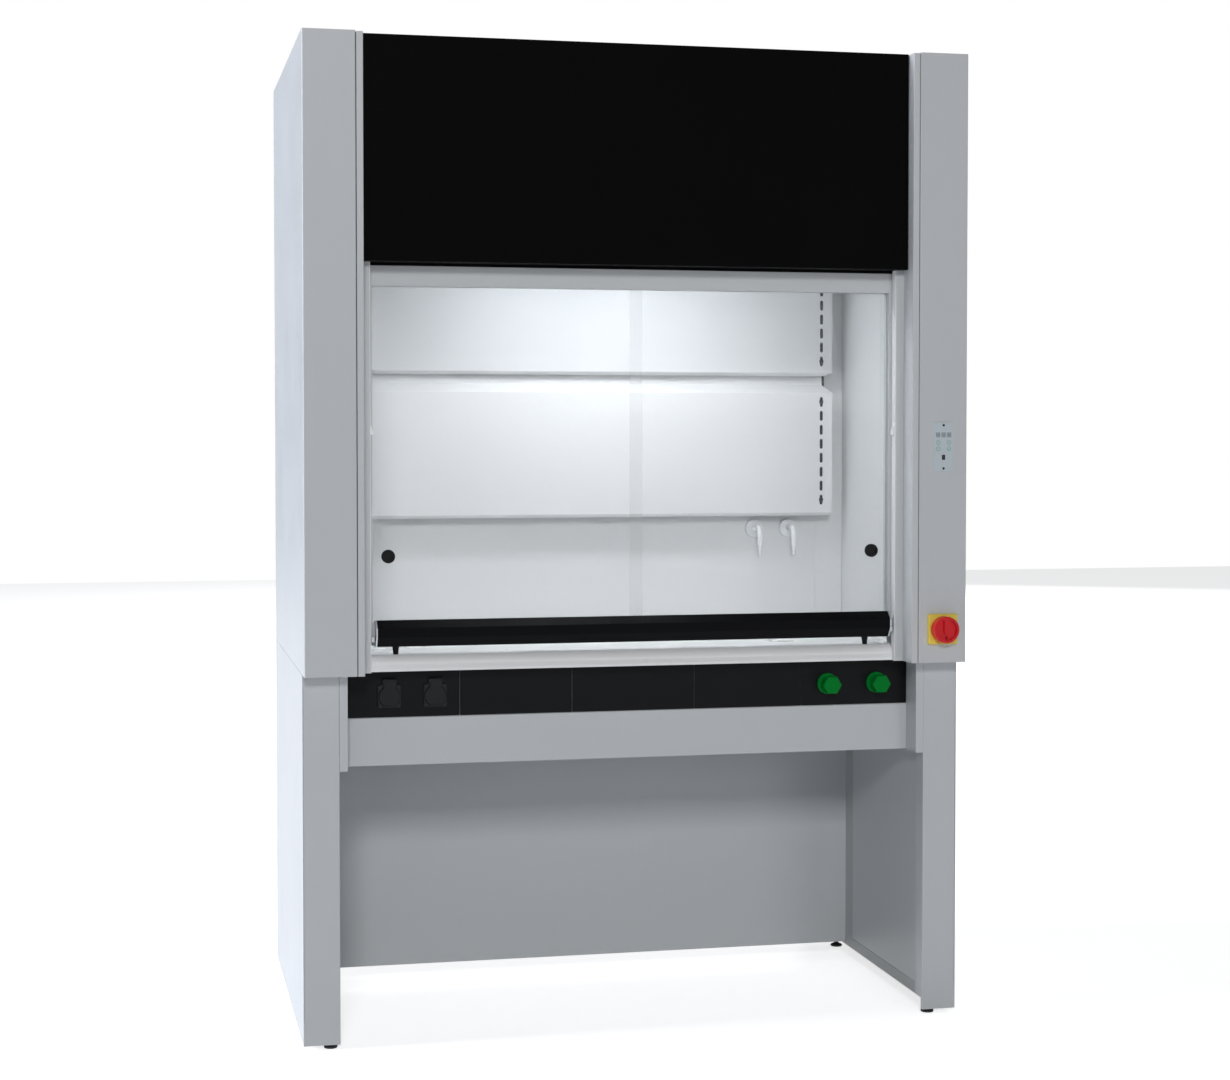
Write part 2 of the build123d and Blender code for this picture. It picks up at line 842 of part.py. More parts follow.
# Back wall of the chamber, with doubled side strips and holes for the nozzle stems
nozzle_places = [nozzle_mid_x - nozzle_pitch / 2, nozzle_mid_x + nozzle_pitch / 2]
with BuildPart() as back_wall:
    with BuildSketch(Plane.XZ.offset(-back_wall_y)):
        with Locations((0, (worktop_height + liner_top) / 2)):
            Rectangle(2 * (liner_x - seat_gap), liner_top - worktop_height - 2 * seat_gap)
        with Locations(*[(x, nozzle_height) for x in nozzle_places]):
            Circle(nozzle_radius + 1, mode=Mode.SUBTRACT)
    extrude(amount=-sheet)
    with BuildSketch(Plane.XZ.offset(-back_wall_y)):
        strip_width = liner_x - 2 * seat_gap - slot_x
        for side in (-1, 1):
            with Locations((side * (slot_x + strip_width / 2), (worktop_height + liner_top) / 2)):
                Rectangle(strip_width, liner_top - worktop_height - 4 * seat_gap)
    extrude(amount=hanger_thickness)
save(back_wall, "back_wall")

# Baffles: folded sheets with columns of slots that end in keyholes
baffle_y = front + baffle_depth
upper_key = baffle_gap_height + key_from_gap
upper_slots = [upper_key + slot_pitch * i for i in range(1, 6)]
lower_top_key = lower_baffle_bend - lower_key_from_bend
lower_count = int((lower_top_key - lower_baffle_bottom - slot_length) / slot_pitch)
lower_keys = [lower_top_key, lower_top_key - slot_pitch * lower_count]
lower_slots = [lower_top_key - slot_pitch * i for i in range(1, lower_count)]


def slot_cutter(slots, keys, x):
    """One column of upright slots and keyholes, as a sketch in the X and Z directions."""
    with BuildSketch() as column:
        with Locations(*[(x, z) for z in slots + keys]):
            SlotOverall(slot_length, slot_width, rotation=90)
        with Locations(*[(x, z) for z in keys]):
            Circle(key_radius)
    return column.sketch


with BuildPart() as baffle_upper:
    with BuildSketch(Plane.YZ.offset(-baffle_half_width)):
        upper_fold = [
            (baffle_y + upper_flange, baffle_gap_height - upper_flange),
            (baffle_y, baffle_gap_height),
            (baffle_y, upper_baffle_lean_height),
            (front + upper_baffle_top_depth, ceiling_height - sheet - seat_gap),
        ]
        add(folded(upper_fold, sheet, bend, Side.RIGHT))
    extrude(amount=2 * baffle_half_width)
    with BuildSketch(Plane.XZ.offset(-baffle_y + 1)):
        for side in (-1, 1):
            add(slot_cutter(upper_slots, [upper_key], side * slot_x))
            Polygon(
                (side * (baffle_half_width + 1), baffle_gap_height),
                (side * (baffle_half_width + 1), baffle_gap_height - 2 * upper_flange),
                (side * (baffle_half_width - 2 * upper_corner_cut), baffle_gap_height - 2 * upper_flange),
                (side * baffle_half_width, baffle_gap_height),
                align=None,
            )
    extrude(amount=-3 * upper_flange, mode=Mode.SUBTRACT)
save(baffle_upper, "baffle_upper")

lower_step_top = lower_baffle_bend + lower_baffle_step
with BuildPart() as baffle_lower:
    with BuildSketch(Plane.YZ.offset(-baffle_half_width)):
        lower_fold = [
            (baffle_y + lower_flange, lower_baffle_bottom),
            (baffle_y, lower_baffle_bottom + lower_flange),
            (baffle_y, lower_baffle_bend),
            (baffle_y + lower_baffle_step, lower_step_top),
            (baffle_y + lower_baffle_step, baffle_gap_height + upper_flange),
        ]
        add(folded(lower_fold, sheet, bend, Side.RIGHT))
    extrude(amount=2 * baffle_half_width)
    with BuildSketch(Plane.XZ.offset(-baffle_y + 1)):
        for side in (-1, 1):
            add(slot_cutter(lower_slots, lower_keys, side * slot_x))
            Polygon(
                (side * baffle_half_width, lower_baffle_bend),
                (side * (baffle_half_width - lower_baffle_step), lower_step_top),
                (side * (baffle_half_width - lower_baffle_step), hood_height),
                (side * (baffle_half_width + 1), hood_height),
                (side * (baffle_half_width + 1), lower_baffle_bend),
                align=None,
            )
    extrude(amount=-3 * lower_baffle_step, mode=Mode.SUBTRACT)
save(baffle_lower, "baffle_lower")

# Hangers: rails on the back wall behind the slots, with headed studs that catch the keyholes
stud_heights = [upper_key, upper_slots[-1]] + lower_keys
hanger_back_y = back_wall_y - hanger_thickness - seat_gap
hanger_bottom = lower_baffle_bottom + 2 * lower_flange
hanger_top = ceiling_height - 4 * sheet
with BuildPart() as baffle_hangers:
    for side in (-1, 1):
        with BuildSketch(Plane.XZ.offset(-hanger_back_y)):
            with Locations((side * slot_x, (hanger_bottom + hanger_top) / 2)):
                Rectangle(hanger_width, hanger_top - hanger_bottom)
        extrude(amount=hanger_thickness)
        with BuildSketch(Plane.XZ.offset(-hanger_back_y)):
            with Locations(*[(side * slot_x, z) for z in stud_heights]):
                Circle(stud_radius + 2)
        extrude(amount=hanger_back_y - baffle_y - sheet - seat_gap)
        with BuildSketch(Plane.XZ.offset(-(baffle_y + sheet + seat_gap))):
            with Locations(*[(side * slot_x, z) for z in stud_heights]):
                Circle(stud_radius)
        extrude(amount=sheet + seat_gap)
save(baffle_hangers, "baffle_hangers")

# Ceiling of the chamber, with its openings for the lamp and the exhaust
lamp_back = lamp_front_depth + lamp_width
outlet_front = front + outlet_front_depth
outlet_back = front + plenum_front_depth + plenum_length - outlet_margin
with BuildPart() as ceiling:
    with BuildSketch(Plane.XY.offset(ceiling_height)):
        Polygon(
            (-liner_front_x + 3, liner_lip_y + 2 * sheet),
            (liner_front_x - 3, liner_lip_y + 2 * sheet),
            (liner_x - seat_gap, front + liner_bend_depth),
            (liner_x - seat_gap, back_wall_y - seat_gap - hanger_thickness - seat_gap),
            (-liner_x + seat_gap, back_wall_y - seat_gap - hanger_thickness - seat_gap),
            (-liner_x + seat_gap, front + liner_bend_depth),
            align=None,
        )
        with Locations((0, front + (lamp_front_depth + lamp_back) / 2)):
            Rectangle(2 * (lamp_half_length - lamp_rim), lamp_width - 2 * lamp_rim, mode=Mode.SUBTRACT)
        with Locations((0, (outlet_front + outlet_back) / 2)):
            Rectangle(2 * (plenum_half_width - outlet_margin), outlet_back - outlet_front,
                      mode=Mode.SUBTRACT)
    extrude(amount=sheet)
    with BuildSketch(Plane.XY.offset(ceiling_height)):
        with Locations((0, liner_lip_y + 2 * sheet + sheet / 2)):
            Rectangle(2 * (liner_front_x - 4), sheet)
    extrude(amount=liner_top - ceiling_height)
save(ceiling, "ceiling")

# Lamp above the ceiling, and the pane that closes it from below
lamp_base = ceiling_height + sheet + seat_gap
with BuildPart() as lamp_housing:
    with BuildSketch(Plane.XY.offset(lamp_base)):
        with Locations((0, front + (lamp_front_depth + lamp_back) / 2)):
            Rectangle(2 * lamp_half_length, lamp_width)
    extrude(amount=lamp_height, taper=6)
    offset(amount=-sheet, openings=lamp_housing.faces().sort_by(Axis.Z)[0], mode=Mode.REPLACE)
save(lamp_housing, "lamp_housing")

with BuildPart() as lamp_diffuser:
    with BuildSketch(Plane.XY.offset(ceiling_height - 1)):
        with Locations((0, front + (lamp_front_depth + lamp_back) / 2)):
            RectangleRounded(2 * (lamp_half_length - lamp_rim - seat_gap),
                             lamp_width - 2 * (lamp_rim + seat_gap), 3)
    extrude(amount=diffuser_thickness)
save(lamp_diffuser, "lamp_diffuser")

# Exhaust plenum: a box over the outlet that ends in a round duct collar
plenum_base = ceiling_height + sheet + seat_gap
plenum_y = front + plenum_front_depth + plenum_length / 2
collar_top = hood_height - collar_drop
plenum_top = plenum_base + plenum_height
with BuildPart() as exhaust_plenum:
    with BuildSketch(Plane.XY.offset(plenum_base)):
        with Locations((0, plenum_y)):
            Rectangle(2 * plenum_half_width, plenum_length)
    extrude(amount=plenum_height)
    offset(amount=-sheet, openings=exhaust_plenum.faces().sort_by(Axis.Z)[0], mode=Mode.REPLACE)
    with BuildSketch(Plane.XY.offset(plenum_top - sheet)):
        with Locations((0, plenum_y)):
            Circle(collar_radius)
    extrude(amount=collar_top - plenum_top + sheet)
    with BuildSketch(Plane.XY.offset(plenum_top - sheet)):
        with Locations((0, plenum_y)):
            Circle(collar_radius - sheet)
    extrude(amount=collar_top - plenum_top + sheet, mode=Mode.SUBTRACT)
save(exhaust_plenum, "exhaust_plenum")

# Fascia: a tray with rounded upright edges, a return under it and a lip in front of the sash
fascia_half = post_inner_x - seat_gap
fascia_front = front + fascia_set_back
with BuildPart() as fascia:
    with BuildSketch(Plane.XY.offset(fascia_bottom)):
        fascia_fold = [
            (-fascia_half, fascia_front + fascia_side_flange),
            (-fascia_half, fascia_front),
            (fascia_half, fascia_front),
            (fascia_half, fascia_front + fascia_side_flange),
        ]
        add(folded(fascia_fold, sheet, fascia_bend, Side.LEFT))
    extrude(amount=hood_height - 0.5 - fascia_bottom)
    with BuildSketch(Plane.XY.offset(fascia_bottom)):
        step_y = front + guide_step_depth - seat_gap
        lip_y = front + guide_depth
        lip_half = guide_inner_x - seat_gap
        Polygon(
            (-fascia_half, fascia_front + fascia_bend),
            (-fascia_half + fascia_bend, fascia_front),
            (fascia_half - fascia_bend, fascia_front),
            (fascia_half, fascia_front + fascia_bend),
            (fascia_half, step_y),
            (lip_half, step_y),
            (lip_half, lip_y),
            (-lip_half, lip_y),
            (-lip_half, step_y),
            (-fascia_half, step_y),
            align=None,
        )
    extrude(amount=sheet)
    with BuildSketch(Plane.XY.offset(fascia_bottom - fascia_lip)):
        with Locations((0, lip_y - sheet / 2)):
            Rectangle(2 * lip_half, sheet)
    extrude(amount=fascia_lip)
save(fascia, "fascia")

# Top frame: tubes behind the fascia, along both sides and across the back
frame_z = hood_height - frame_drop - frame_tube / 2
side_tube_x = skin_x - seat_gap - frame_tube / 2
frame_front_y = fascia_front + sheet + seat_gap + frame_tube / 2
frame_rear_y = back - 2 * sheet - 2 * seat_gap - frame_tube / 2
with BuildPart() as top_frame:
    add(tube_along_x(frame_front_y, frame_z, frame_tube, frame_tube, guide_inner_x - seat_gap))
    add(tube_along_y(side_tube_x, frame_z, frame_tube, frame_tube,
                     front + cover_inner_return + seat_gap, frame_rear_y - frame_tube / 2 - seat_gap))
    mirror(about=Plane.YZ)
    add(tube_along_x(frame_rear_y, frame_z, frame_tube, frame_tube, skin_x - seat_gap))
save(top_frame, "top_frame")

# Rear cover, a tray between the returns of the side panels
rear_half = skin_x - seat_gap
rear_y = back - sheet - seat_gap
with BuildPart() as rear_cover:
    with BuildSketch(Plane.YZ.offset(-rear_half)):
        rear_fold = [
            (rear_y - return_width, stand_height),
            (rear_y, stand_height),
            (rear_y, hood_height - 1),
            (rear_y - return_width, hood_height - 1),
        ]
        add(folded(rear_fold, sheet, bend, Side.LEFT))
    extrude(amount=2 * rear_half)
save(rear_cover, "rear_cover")

# Hose nozzles: a domed flange, a stem through the wall and a bent tube that ends in barbs
with BuildPart() as hose_nozzles:
    for x in nozzle_places:
        wall_y = back_wall_y - seat_gap
        tip_y = back_wall_y - nozzle_reach
        with BuildLine() as tube_path:
            FilletPolyline(
                (x, wall_y - 1, nozzle_height),
                (x, tip_y, nozzle_height + 5),
                (x, tip_y, nozzle_height - nozzle_drop),
                radius=nozzle_bend,
            )
        with BuildSketch(Plane(origin=tube_path.line @ 0, z_dir=tube_path.line % 0)):
            Circle(nozzle_radius)
        sweep(path=tube_path.line)
        barb_top = nozzle_height - nozzle_drop
        barb_step = barb_length / barb_count
        with BuildSketch(Plane.XZ.offset(-tip_y)):
            with BuildLine():
                outline = [(x, barb_top + 1), (x + nozzle_radius - 1, barb_top + 1)]
                outline += [(x + nozzle_radius - 1, barb_top - 1.5)]
                for i in range(barb_count):
                    z = barb_top - i * barb_step
                    outline += [(x + barb_neck_radius, z - 2.5), (x + barb_radius - 0.4 * i, z - 5.5)]
                outline += [(x + barb_neck_radius - 0.8, barb_top - barb_length), (x, barb_top - barb_length)]
                Polyline(*outline, close=True)
            make_face()
        revolve(axis=Axis((x, tip_y, 0), (0, 0, 1)))
        with BuildSketch(Plane.XZ.offset(-wall_y)):
            with Locations((x, nozzle_height)):
                Circle(nozzle_flange_radius)
        extrude(amount=nozzle_flange_thickness, taper=12)
        with BuildSketch(Plane.XZ.offset(-wall_y)):
            with Locations((x, nozzle_height)):
                Circle(nozzle_radius)
        extrude(amount=-nozzle_stem_length)
save(hose_nozzles, "hose_nozzles")

# Sash frame: two rails and two stiles, grooved for the sliding panes
front_track = sash_front + track_lip
rear_track = front_track + pane_thickness + 2 * pane_edge_gap + pane_gap - 2 * pane_edge_gap
track_width = pane_thickness + 2 * pane_edge_gap
tracks = [front_track, rear_track]
rail_half = stile_inner_x - seat_gap / 2
with BuildPart() as sash_frame:
    with BuildSketch(Plane.XY.offset(stile_bottom)):
        with Locations(((stile_inner_x + stile_outer_x) / 2, (sash_front + sash_back) / 2)):
            Rectangle(stile_width, sash_thickness)
            with Locations((track_depth / 2, 0)):
                Rectangle(stile_width - track_depth - 2 * tube_wall - 4, sash_thickness - 2 * tube_wall,
                          mode=Mode.SUBTRACT)
        for track in tracks:
            with Locations((stile_inner_x + track_depth / 2, track + track_width / 2)):
                Rectangle(track_depth, track_width, mode=Mode.SUBTRACT)
    extrude(amount=sash_top - stile_bottom)
    mirror(about=Plane.YZ)
    rail_spans = [(sash_bottom, bottom_rail_top, 1), (sash_top, top_rail_bottom, -1)]
    for base, mouth, up in rail_spans:
        with BuildSketch(Plane.YZ.offset(-rail_half)):
            with Locations(((sash_front + sash_back) / 2, (base + mouth) / 2)):
                Rectangle(sash_thickness, abs(mouth - base))
            hollow = abs(mouth - base) - track_depth - 3 * tube_wall
            with Locations(((sash_front + sash_back) / 2, base + up * (tube_wall + hollow / 2))):
                Rectangle(sash_thickness - 2 * tube_wall, hollow, mode=Mode.SUBTRACT)
            for track in tracks:
                with Locations((track + track_width / 2, mouth - up * track_depth / 2)):
                    Rectangle(track_width, track_depth, mode=Mode.SUBTRACT)
        extrude(amount=2 * rail_half)
save(sash_frame, "sash_frame")

# Glass panes, each with a round hole for its finger pull
pane_edge_x = stile_inner_x + track_depth - slide_gap
pane_bottom = bottom_rail_top - track_depth + slide_gap
pane_top = top_rail_bottom + track_depth - 2
pane_inner_x = pane_overlap / 2
pull_x = pane_edge_x - pull_from_edge - track_depth + slide_gap


def pane(name, side, track):
    pane_front = track + pane_edge_gap
    with BuildPart() as glass:
        with BuildSketch(Plane.XZ.offset(-pane_front)):
            with Locations((side * (pane_edge_x - pane_inner_x) / 2, (pane_bottom + pane_top) / 2)):
                Rectangle(pane_edge_x + pane_inner_x, pane_top - pane_bottom)
            with Locations((side * pull_x, pull_height)):
                Circle(pull_radius - 2, mode=Mode.SUBTRACT)
        extrude(amount=-pane_thickness)
    save(glass, name)


def finger_pull(name, side, track):
    """A round cup set into the pane, with a thin rim on both faces."""
    rim = 1
    pane_front = track + pane_edge_gap
    with BuildPart() as pull:
        with BuildSketch(Plane.XZ.offset(-pane_front)):
            with Locations((side * pull_x, pull_height)):
                Circle(pull_radius)
        extrude(amount=rim)
        with BuildSketch(Plane.XZ.offset(-pane_front)):
            with Locations((side * pull_x, pull_height)):
                Circle(pull_radius - 2 - shaft_gap)
        extrude(amount=-pane_thickness)
        with BuildSketch(Plane.XZ.offset(-pane_front - pane_thickness)):
            with Locations((side * pull_x, pull_height)):
                Circle(pull_radius)
        extrude(amount=-rim)
        with BuildSketch(Plane.XZ.offset(-pane_front + rim)):
            with Locations((side * pull_x, pull_height)):
                Circle(pull_radius - 3.5)
        extrude(amount=-rim - pane_thickness + 1, mode=Mode.SUBTRACT)
    save(pull, name)


pane("pane_left", -1, front_track)
pane("pane_right", 1, rear_track)
finger_pull("finger_pull_left", -1, front_track)
finger_pull("finger_pull_right", 1, rear_track)

# Handle: a faceted extrusion along the bottom rail, closed by two end caps. Beside the caps, catches
# on the stile feet meet the spring tongues.
handle_half = handle_length / 2
ridge_y = front + handle_ridge_depth
handle_face_y = front + handle_front_depth
handle_outline = [
    (sash_front - seat_gap, handle_top - 1),
    (ridge_y, handle_top),
    (handle_face_y, handle_facet_top),
    (handle_face_y, handle_facet_bottom),
    (ridge_y - 3, sash_bottom),
    (sash_front - seat_gap, sash_bottom),
]
with BuildPart() as sash_handle:
    with BuildSketch(Plane.YZ.offset(-handle_half)) as handle_section:
        Polygon(*handle_outline, align=None)
        fillet(handle_section.vertices().sort_by(Axis.Y)[:4], 1.2)
        offset(amount=-tube_wall, mode=Mode.SUBTRACT)
    extrude(amount=2 * handle_half)
save(sash_handle, "sash_handle")

with BuildPart() as handle_caps:
    with BuildSketch(Plane.YZ.offset(handle_half + seat_gap)) as cap_section:
        Polygon(*handle_outline, align=None)
        fillet(cap_section.vertices().sort_by(Axis.Y)[:4], 1.2)
    extrude(amount=handle_cap)
    catch_inner = handle_half + handle_cap + 3 * seat_gap
    catch_outer = guide_inner_x - 3 * seat_gap
    with BuildSketch(Plane.XY.offset(catch_top - catch_height)):
        with Locations(((catch_inner + catch_outer) / 2, sash_front - catch_depth / 2 - seat_gap)):
            RectangleRounded(catch_outer - catch_inner, catch_depth, 1.5)
    extrude(amount=catch_height)
    mirror(about=Plane.YZ)
save(handle_caps, "handle_caps")

# Rubber buffers under the bottom rail
with BuildPart() as sash_buffers:
    buffer_y = front + buffer_depth
    for side in (-1, 1):
        with BuildSketch(Plane.XY.offset(worktop_height + seat_gap)):
            with Locations((side * buffer_x, buffer_y)):
                Circle(buffer_tip_radius)
        with BuildSketch(Plane.XY.offset(sash_bottom)):
            with Locations((side * buffer_x, buffer_y)):
                Circle(buffer_top_radius)
        loft()
save(sash_buffers, "sash_buffers")

# Cable brackets reach from the stiles into the side walls
arm_y = (sash_front + sash_back) / 2
bracket_x = stile_outer_x + seat_gap
with BuildPart() as cable_brackets:
    with BuildSketch(Plane.XY.offset(bracket_arm_height - bracket_height / 2)):
        with Locations((bracket_x + bracket_plate / 2, arm_y)):
            Rectangle(bracket_plate, sash_thickness - 8)
    extrude(amount=bracket_height)
    with BuildSketch(Plane.XY.offset(bracket_arm_height - bracket_plate / 2)):
        with BuildLine():
            Polyline(
                (bracket_x, arm_y - (sash_thickness - 8) / 2),
                (cable_x + 8, arm_y - 8),
                (cable_x + 8, arm_y + 8),
                (bracket_x, arm_y + (sash_thickness - 8) / 2),
                close=True,
            )
        make_face()
        with Locations((cable_x, arm_y)):
            Circle(cable_radius + seat_gap, mode=Mode.SUBTRACT)
    extrude(amount=bracket_plate)
    mirror(about=Plane.YZ)
save(cable_brackets, "cable_brackets")

# Shaft and pulleys that keep both sides of the sash level
shaft_half = cable_x + pulley_width / 2 + bearing_thickness + 4 * seat_gap
with BuildPart() as sync_shaft:
    with BuildSketch(Plane.YZ.offset(-shaft_half)):
        with Locations((shaft_y, shaft_height)):
            Circle(shaft_radius)
    extrude(amount=2 * shaft_half)
save(sync_shaft, "sync_shaft")

groove_floor = pulley_radius - cable_radius - seat_gap
with BuildPart() as cable_pulleys:
    for side in (-1, 1):
        half = pulley_width / 2
        pulley_plane = Plane(origin=(side * cable_x, shaft_y, shaft_height), x_dir=(0, 1, 0), z_dir=(0, 0, 1))
        with BuildSketch(pulley_plane):
            Polygon(
                (shaft_radius + seat_gap / 10, -half),
                (shaft_radius + 10, -half),
                (shaft_radius + 12, -half + 3),
                (groove_floor - 6, -half + 3),
                (groove_floor - 4, -half),
                (groove_floor + groove_depth, -half),
                (groove_floor, -cable_radius),
                (groove_floor, cable_radius),
                (groove_floor + groove_depth, half),
                (groove_floor - 4, half),
                (groove_floor - 6, half - 3),
                (shaft_radius + 12, half - 3),
                (shaft_radius + 10, half),
                (shaft_radius + seat_gap / 10, half),
                align=None,
            )
        revolve(axis=Axis((side * cable_x, shaft_y, shaft_height), (1, 0, 0)))
        with BuildSketch(Plane.YZ.offset(side * cable_x - half)):
            with Locations((shaft_y, shaft_height)):
                with PolarLocations((shaft_radius + groove_floor) / 2 + 3, 6):
                    Circle(11)
        extrude(amount=pulley_width, mode=Mode.SUBTRACT)
save(cable_pulleys, "cable_pulleys")

# Shaft brackets hang from the side tubes of the top frame
bearing_x = cable_x + pulley_width / 2 + 2 * seat_gap
bearing_top = frame_z - frame_tube / 2 - seat_gap
with BuildPart() as shaft_brackets:
    with BuildSketch(Plane.YZ.offset(bearing_x)):
        bearing_bottom = shaft_height - bearing_width / 2
        with Locations((shaft_y, (bearing_bottom + bearing_top) / 2)):
            Rectangle(bearing_width, bearing_top - bearing_bottom)
        with Locations((shaft_y, shaft_height)):
            Circle(shaft_radius + shaft_gap, mode=Mode.SUBTRACT)
    extrude(amount=bearing_thickness)
    with BuildSketch(Plane.XY.offset(bearing_top)):
        with Locations(((bearing_x + skin_x) / 2, shaft_y)):
            Rectangle(skin_x - bearing_x - 2 * seat_gap, bearing_width)
    extrude(amount=-bearing_thickness / 2)
    mirror(about=Plane.YZ)
save(shaft_brackets, "shaft_brackets")


def counterweight(name, side):
    """A steel bar with an eye for the cable."""
    with BuildPart() as weight:
        with BuildSketch(Plane.XY.offset(weight_top)):
            with Locations((side * cable_x, cable_back_y)):
                Rectangle(weight_width, weight_depth)
        extrude(amount=-weight_length)
        chamfer(weight.edges().filter_by(Axis.Z), 4)
        with BuildSketch(Plane.XY.offset(weight_top)):
            with Locations((side * cable_x, cable_back_y)):
                Circle(6)
        extrude(amount=14)
    save(weight, name)


counterweight("counterweight_left", -1)
counterweight("counterweight_right", 1)

# Lift cables: up from the sash bracket, over the pulley and down to the weight
cable_bottom = bracket_arm_height - bracket_plate / 2 - 8
with BuildPart() as lift_cables:
    with BuildLine() as cable_path:
        rise = Line((cable_x, cable_front_y, cable_bottom), (cable_x, cable_front_y, shaft_height))
        over = ThreePointArc(
            rise @ 1,
            (cable_x, shaft_y, shaft_height + pulley_radius),
            (cable_x, cable_back_y, shaft_height),
        )
        Line(over @ 1, (cable_x, cable_back_y, weight_top + 14 + seat_gap))
    with BuildSketch(Plane(origin=cable_path.line @ 0, z_dir=cable_path.line % 0)):
        Circle(cable_radius)
    sweep(path=cable_path.line)
    mirror(about=Plane.YZ)
save(lift_cables, "lift_cables")

# Control plate with windows, and its housing inside the column
key_heights = [control_height + key_rise + key_pitch_z / 2, control_height + key_rise - key_pitch_z / 2]
key_places = [(control_x + i * key_pitch_x / 2, z) for z in key_heights for i in (-1, 1)]
window_places = [(control_x + i * window_pitch, control_height + window_rise) for i in (-1, 0, 1)]
rocker_z = control_height - rocker_drop
control_front = front - control_thickness
screw_places = [(control_x, control_height + i * (control_length / 2 - control_screw_inset)) for i in (-1, 1)]
with BuildPart() as control_plate:
    with BuildSketch(Plane.XZ.offset(-front)):
        with Locations((control_x, control_height)):
            RectangleRounded(control_width, control_length, 2.5)
    extrude(amount=control_thickness)
    with BuildSketch(Plane.XZ.offset(-front)):
        with Locations((control_x, control_height)):
            Rectangle(control_width - 7, control_length - 21)
    extrude(amount=-control_body_depth)
    with BuildSketch(Plane.XZ.offset(-control_front)):
        with Locations(*window_places):
            RectangleRounded(window_size, window_size, 1)
    extrude(amount=-0.6, mode=Mode.SUBTRACT)
    with BuildSketch(Plane.XZ.offset(-control_front)):
        with Locations(*key_places):
            Circle(key_cap_radius + 0.1)
    extrude(amount=-control_thickness, mode=Mode.SUBTRACT)
    with BuildSketch(Plane.XZ.offset(-control_front)):
        with Locations((control_x, rocker_z)):
            Rectangle(rocker_width + 0.4, rocker_length + 0.4)
    extrude(amount=-8, mode=Mode.SUBTRACT)
save(control_plate, "control_plate")


def control_key(name, place):
    key_front = front - control_thickness - 1
    with BuildPart() as cap:
        with BuildSketch(Plane.XZ.offset(-key_front)):
            with Locations(place):
                Circle(key_cap_radius)
        extrude(amount=-(control_thickness + 1 - key_travel - seat_gap))
        chamfer(cap.edges().filter_by(GeomType.CIRCLE).sort_by(Axis.Y)[0], 0.4)
    save(cap, name)


for number, place in enumerate(key_places, start=1):
    control_key(f"control_key_{number}", place)

rocker_pin_y = control_front + 1.5
with BuildPart() as control_rocker:
    with BuildSketch(Plane.YZ.offset(control_x - rocker_width / 2)):
        with BuildLine():
            barrel = ThreePointArc(
                (rocker_pin_y, rocker_z - rocker_radius),
                (rocker_pin_y + rocker_radius, rocker_z),
                (rocker_pin_y, rocker_z + rocker_radius),
            )
            Polyline(
                barrel @ 1,
                (control_front - 1.6, rocker_z + rocker_length / 2 - 0.8),
                (control_front + 0.4, rocker_z),
                (control_front - 0.2, rocker_z - rocker_length / 2 + 0.8),
                barrel @ 0,
            )
        make_face()
    extrude(amount=rocker_width)
save(control_rocker, "control_rocker")

# Screws of the control plate and the socket flanges: pan heads with a short shank
socket_screws = [
    (x + i * screw_spread, socket_height + j * screw_spread)
    for x in socket_places
    for i in (-1, 1)
    for j in (-1, 1)
]
with BuildPart() as screws:
    for face_y, places in ((control_front, screw_places), (flange_front_y, socket_screws)):
        with BuildSketch(Plane.XZ.offset(-face_y)):
            with Locations(*places):
                Circle(screw_head_radius)
        extrude(amount=1.2)
save(screws, "screws")

# Main switch: a square plate with the switch body behind it, and a turning knob
plate_face_y = front - switch_plate_thickness
with BuildPart() as main_switch_plate:
    with BuildSketch(Plane.XZ.offset(-front)):
        with Locations((switch_x, switch_height)):
            RectangleRounded(switch_plate_size, switch_plate_size, 4)
    extrude(amount=switch_plate_thickness)
    chamfer(main_switch_plate.faces().sort_by(Axis.Y)[0].edges(), 1.5)
    with BuildSketch(Plane.XZ.offset(-front)):
        with Locations((switch_x, switch_height)):
            Circle(switch_body_size / 2 - seat_gap)
    extrude(amount=-switch_body_depth)
    with BuildSketch(Plane.XZ.offset(-plate_face_y)):
        with Locations((switch_x, switch_height)):
            Circle(switch_spindle_radius)
    extrude(amount=switch_knob_depth / 2)
save(main_switch_plate, "main_switch_plate")

knob_back_y = plate_face_y - switch_knob_gap
knob_face_y = knob_back_y - switch_knob_depth
with BuildPart() as main_switch_knob:
    with BuildSketch(Plane.XZ.offset(-knob_back_y)):
        with Locations((switch_x, switch_height)):
            Circle(switch_knob_radius)
    extrude(amount=switch_knob_depth)
    chamfer(main_switch_knob.edges().filter_by(GeomType.CIRCLE).sort_by(Axis.Y)[0], 1.8)
    with BuildSketch(Plane.XZ.offset(-knob_face_y)):
        with Locations((switch_x, switch_height)):
            Circle(switch_knob_radius - switch_ring)
    extrude(amount=-switch_recess, mode=Mode.SUBTRACT)
    with BuildSketch(Plane.XZ.offset(-(knob_face_y + switch_recess))):
        with Locations((switch_x, switch_height + switch_knob_radius - switch_ring / 2 - grip_length / 2)):
            SlotOverall(grip_length, grip_width, rotation=90)
    extrude(amount=switch_recess - 1)
    with BuildSketch(Plane.XZ.offset(-(knob_face_y + switch_recess))):
        with Locations((switch_x, switch_height - switch_knob_radius + switch_ring + 5)):
            Circle(4)
    extrude(amount=-switch_recess, mode=Mode.SUBTRACT)
    with BuildSketch(Plane.XZ.offset(-knob_back_y)):
        with Locations((switch_x, switch_height)):
            Circle(switch_spindle_radius + shaft_gap)
    extrude(amount=switch_knob_depth / 2, mode=Mode.SUBTRACT)
save(main_switch_knob, "main_switch_knob")
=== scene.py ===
import math

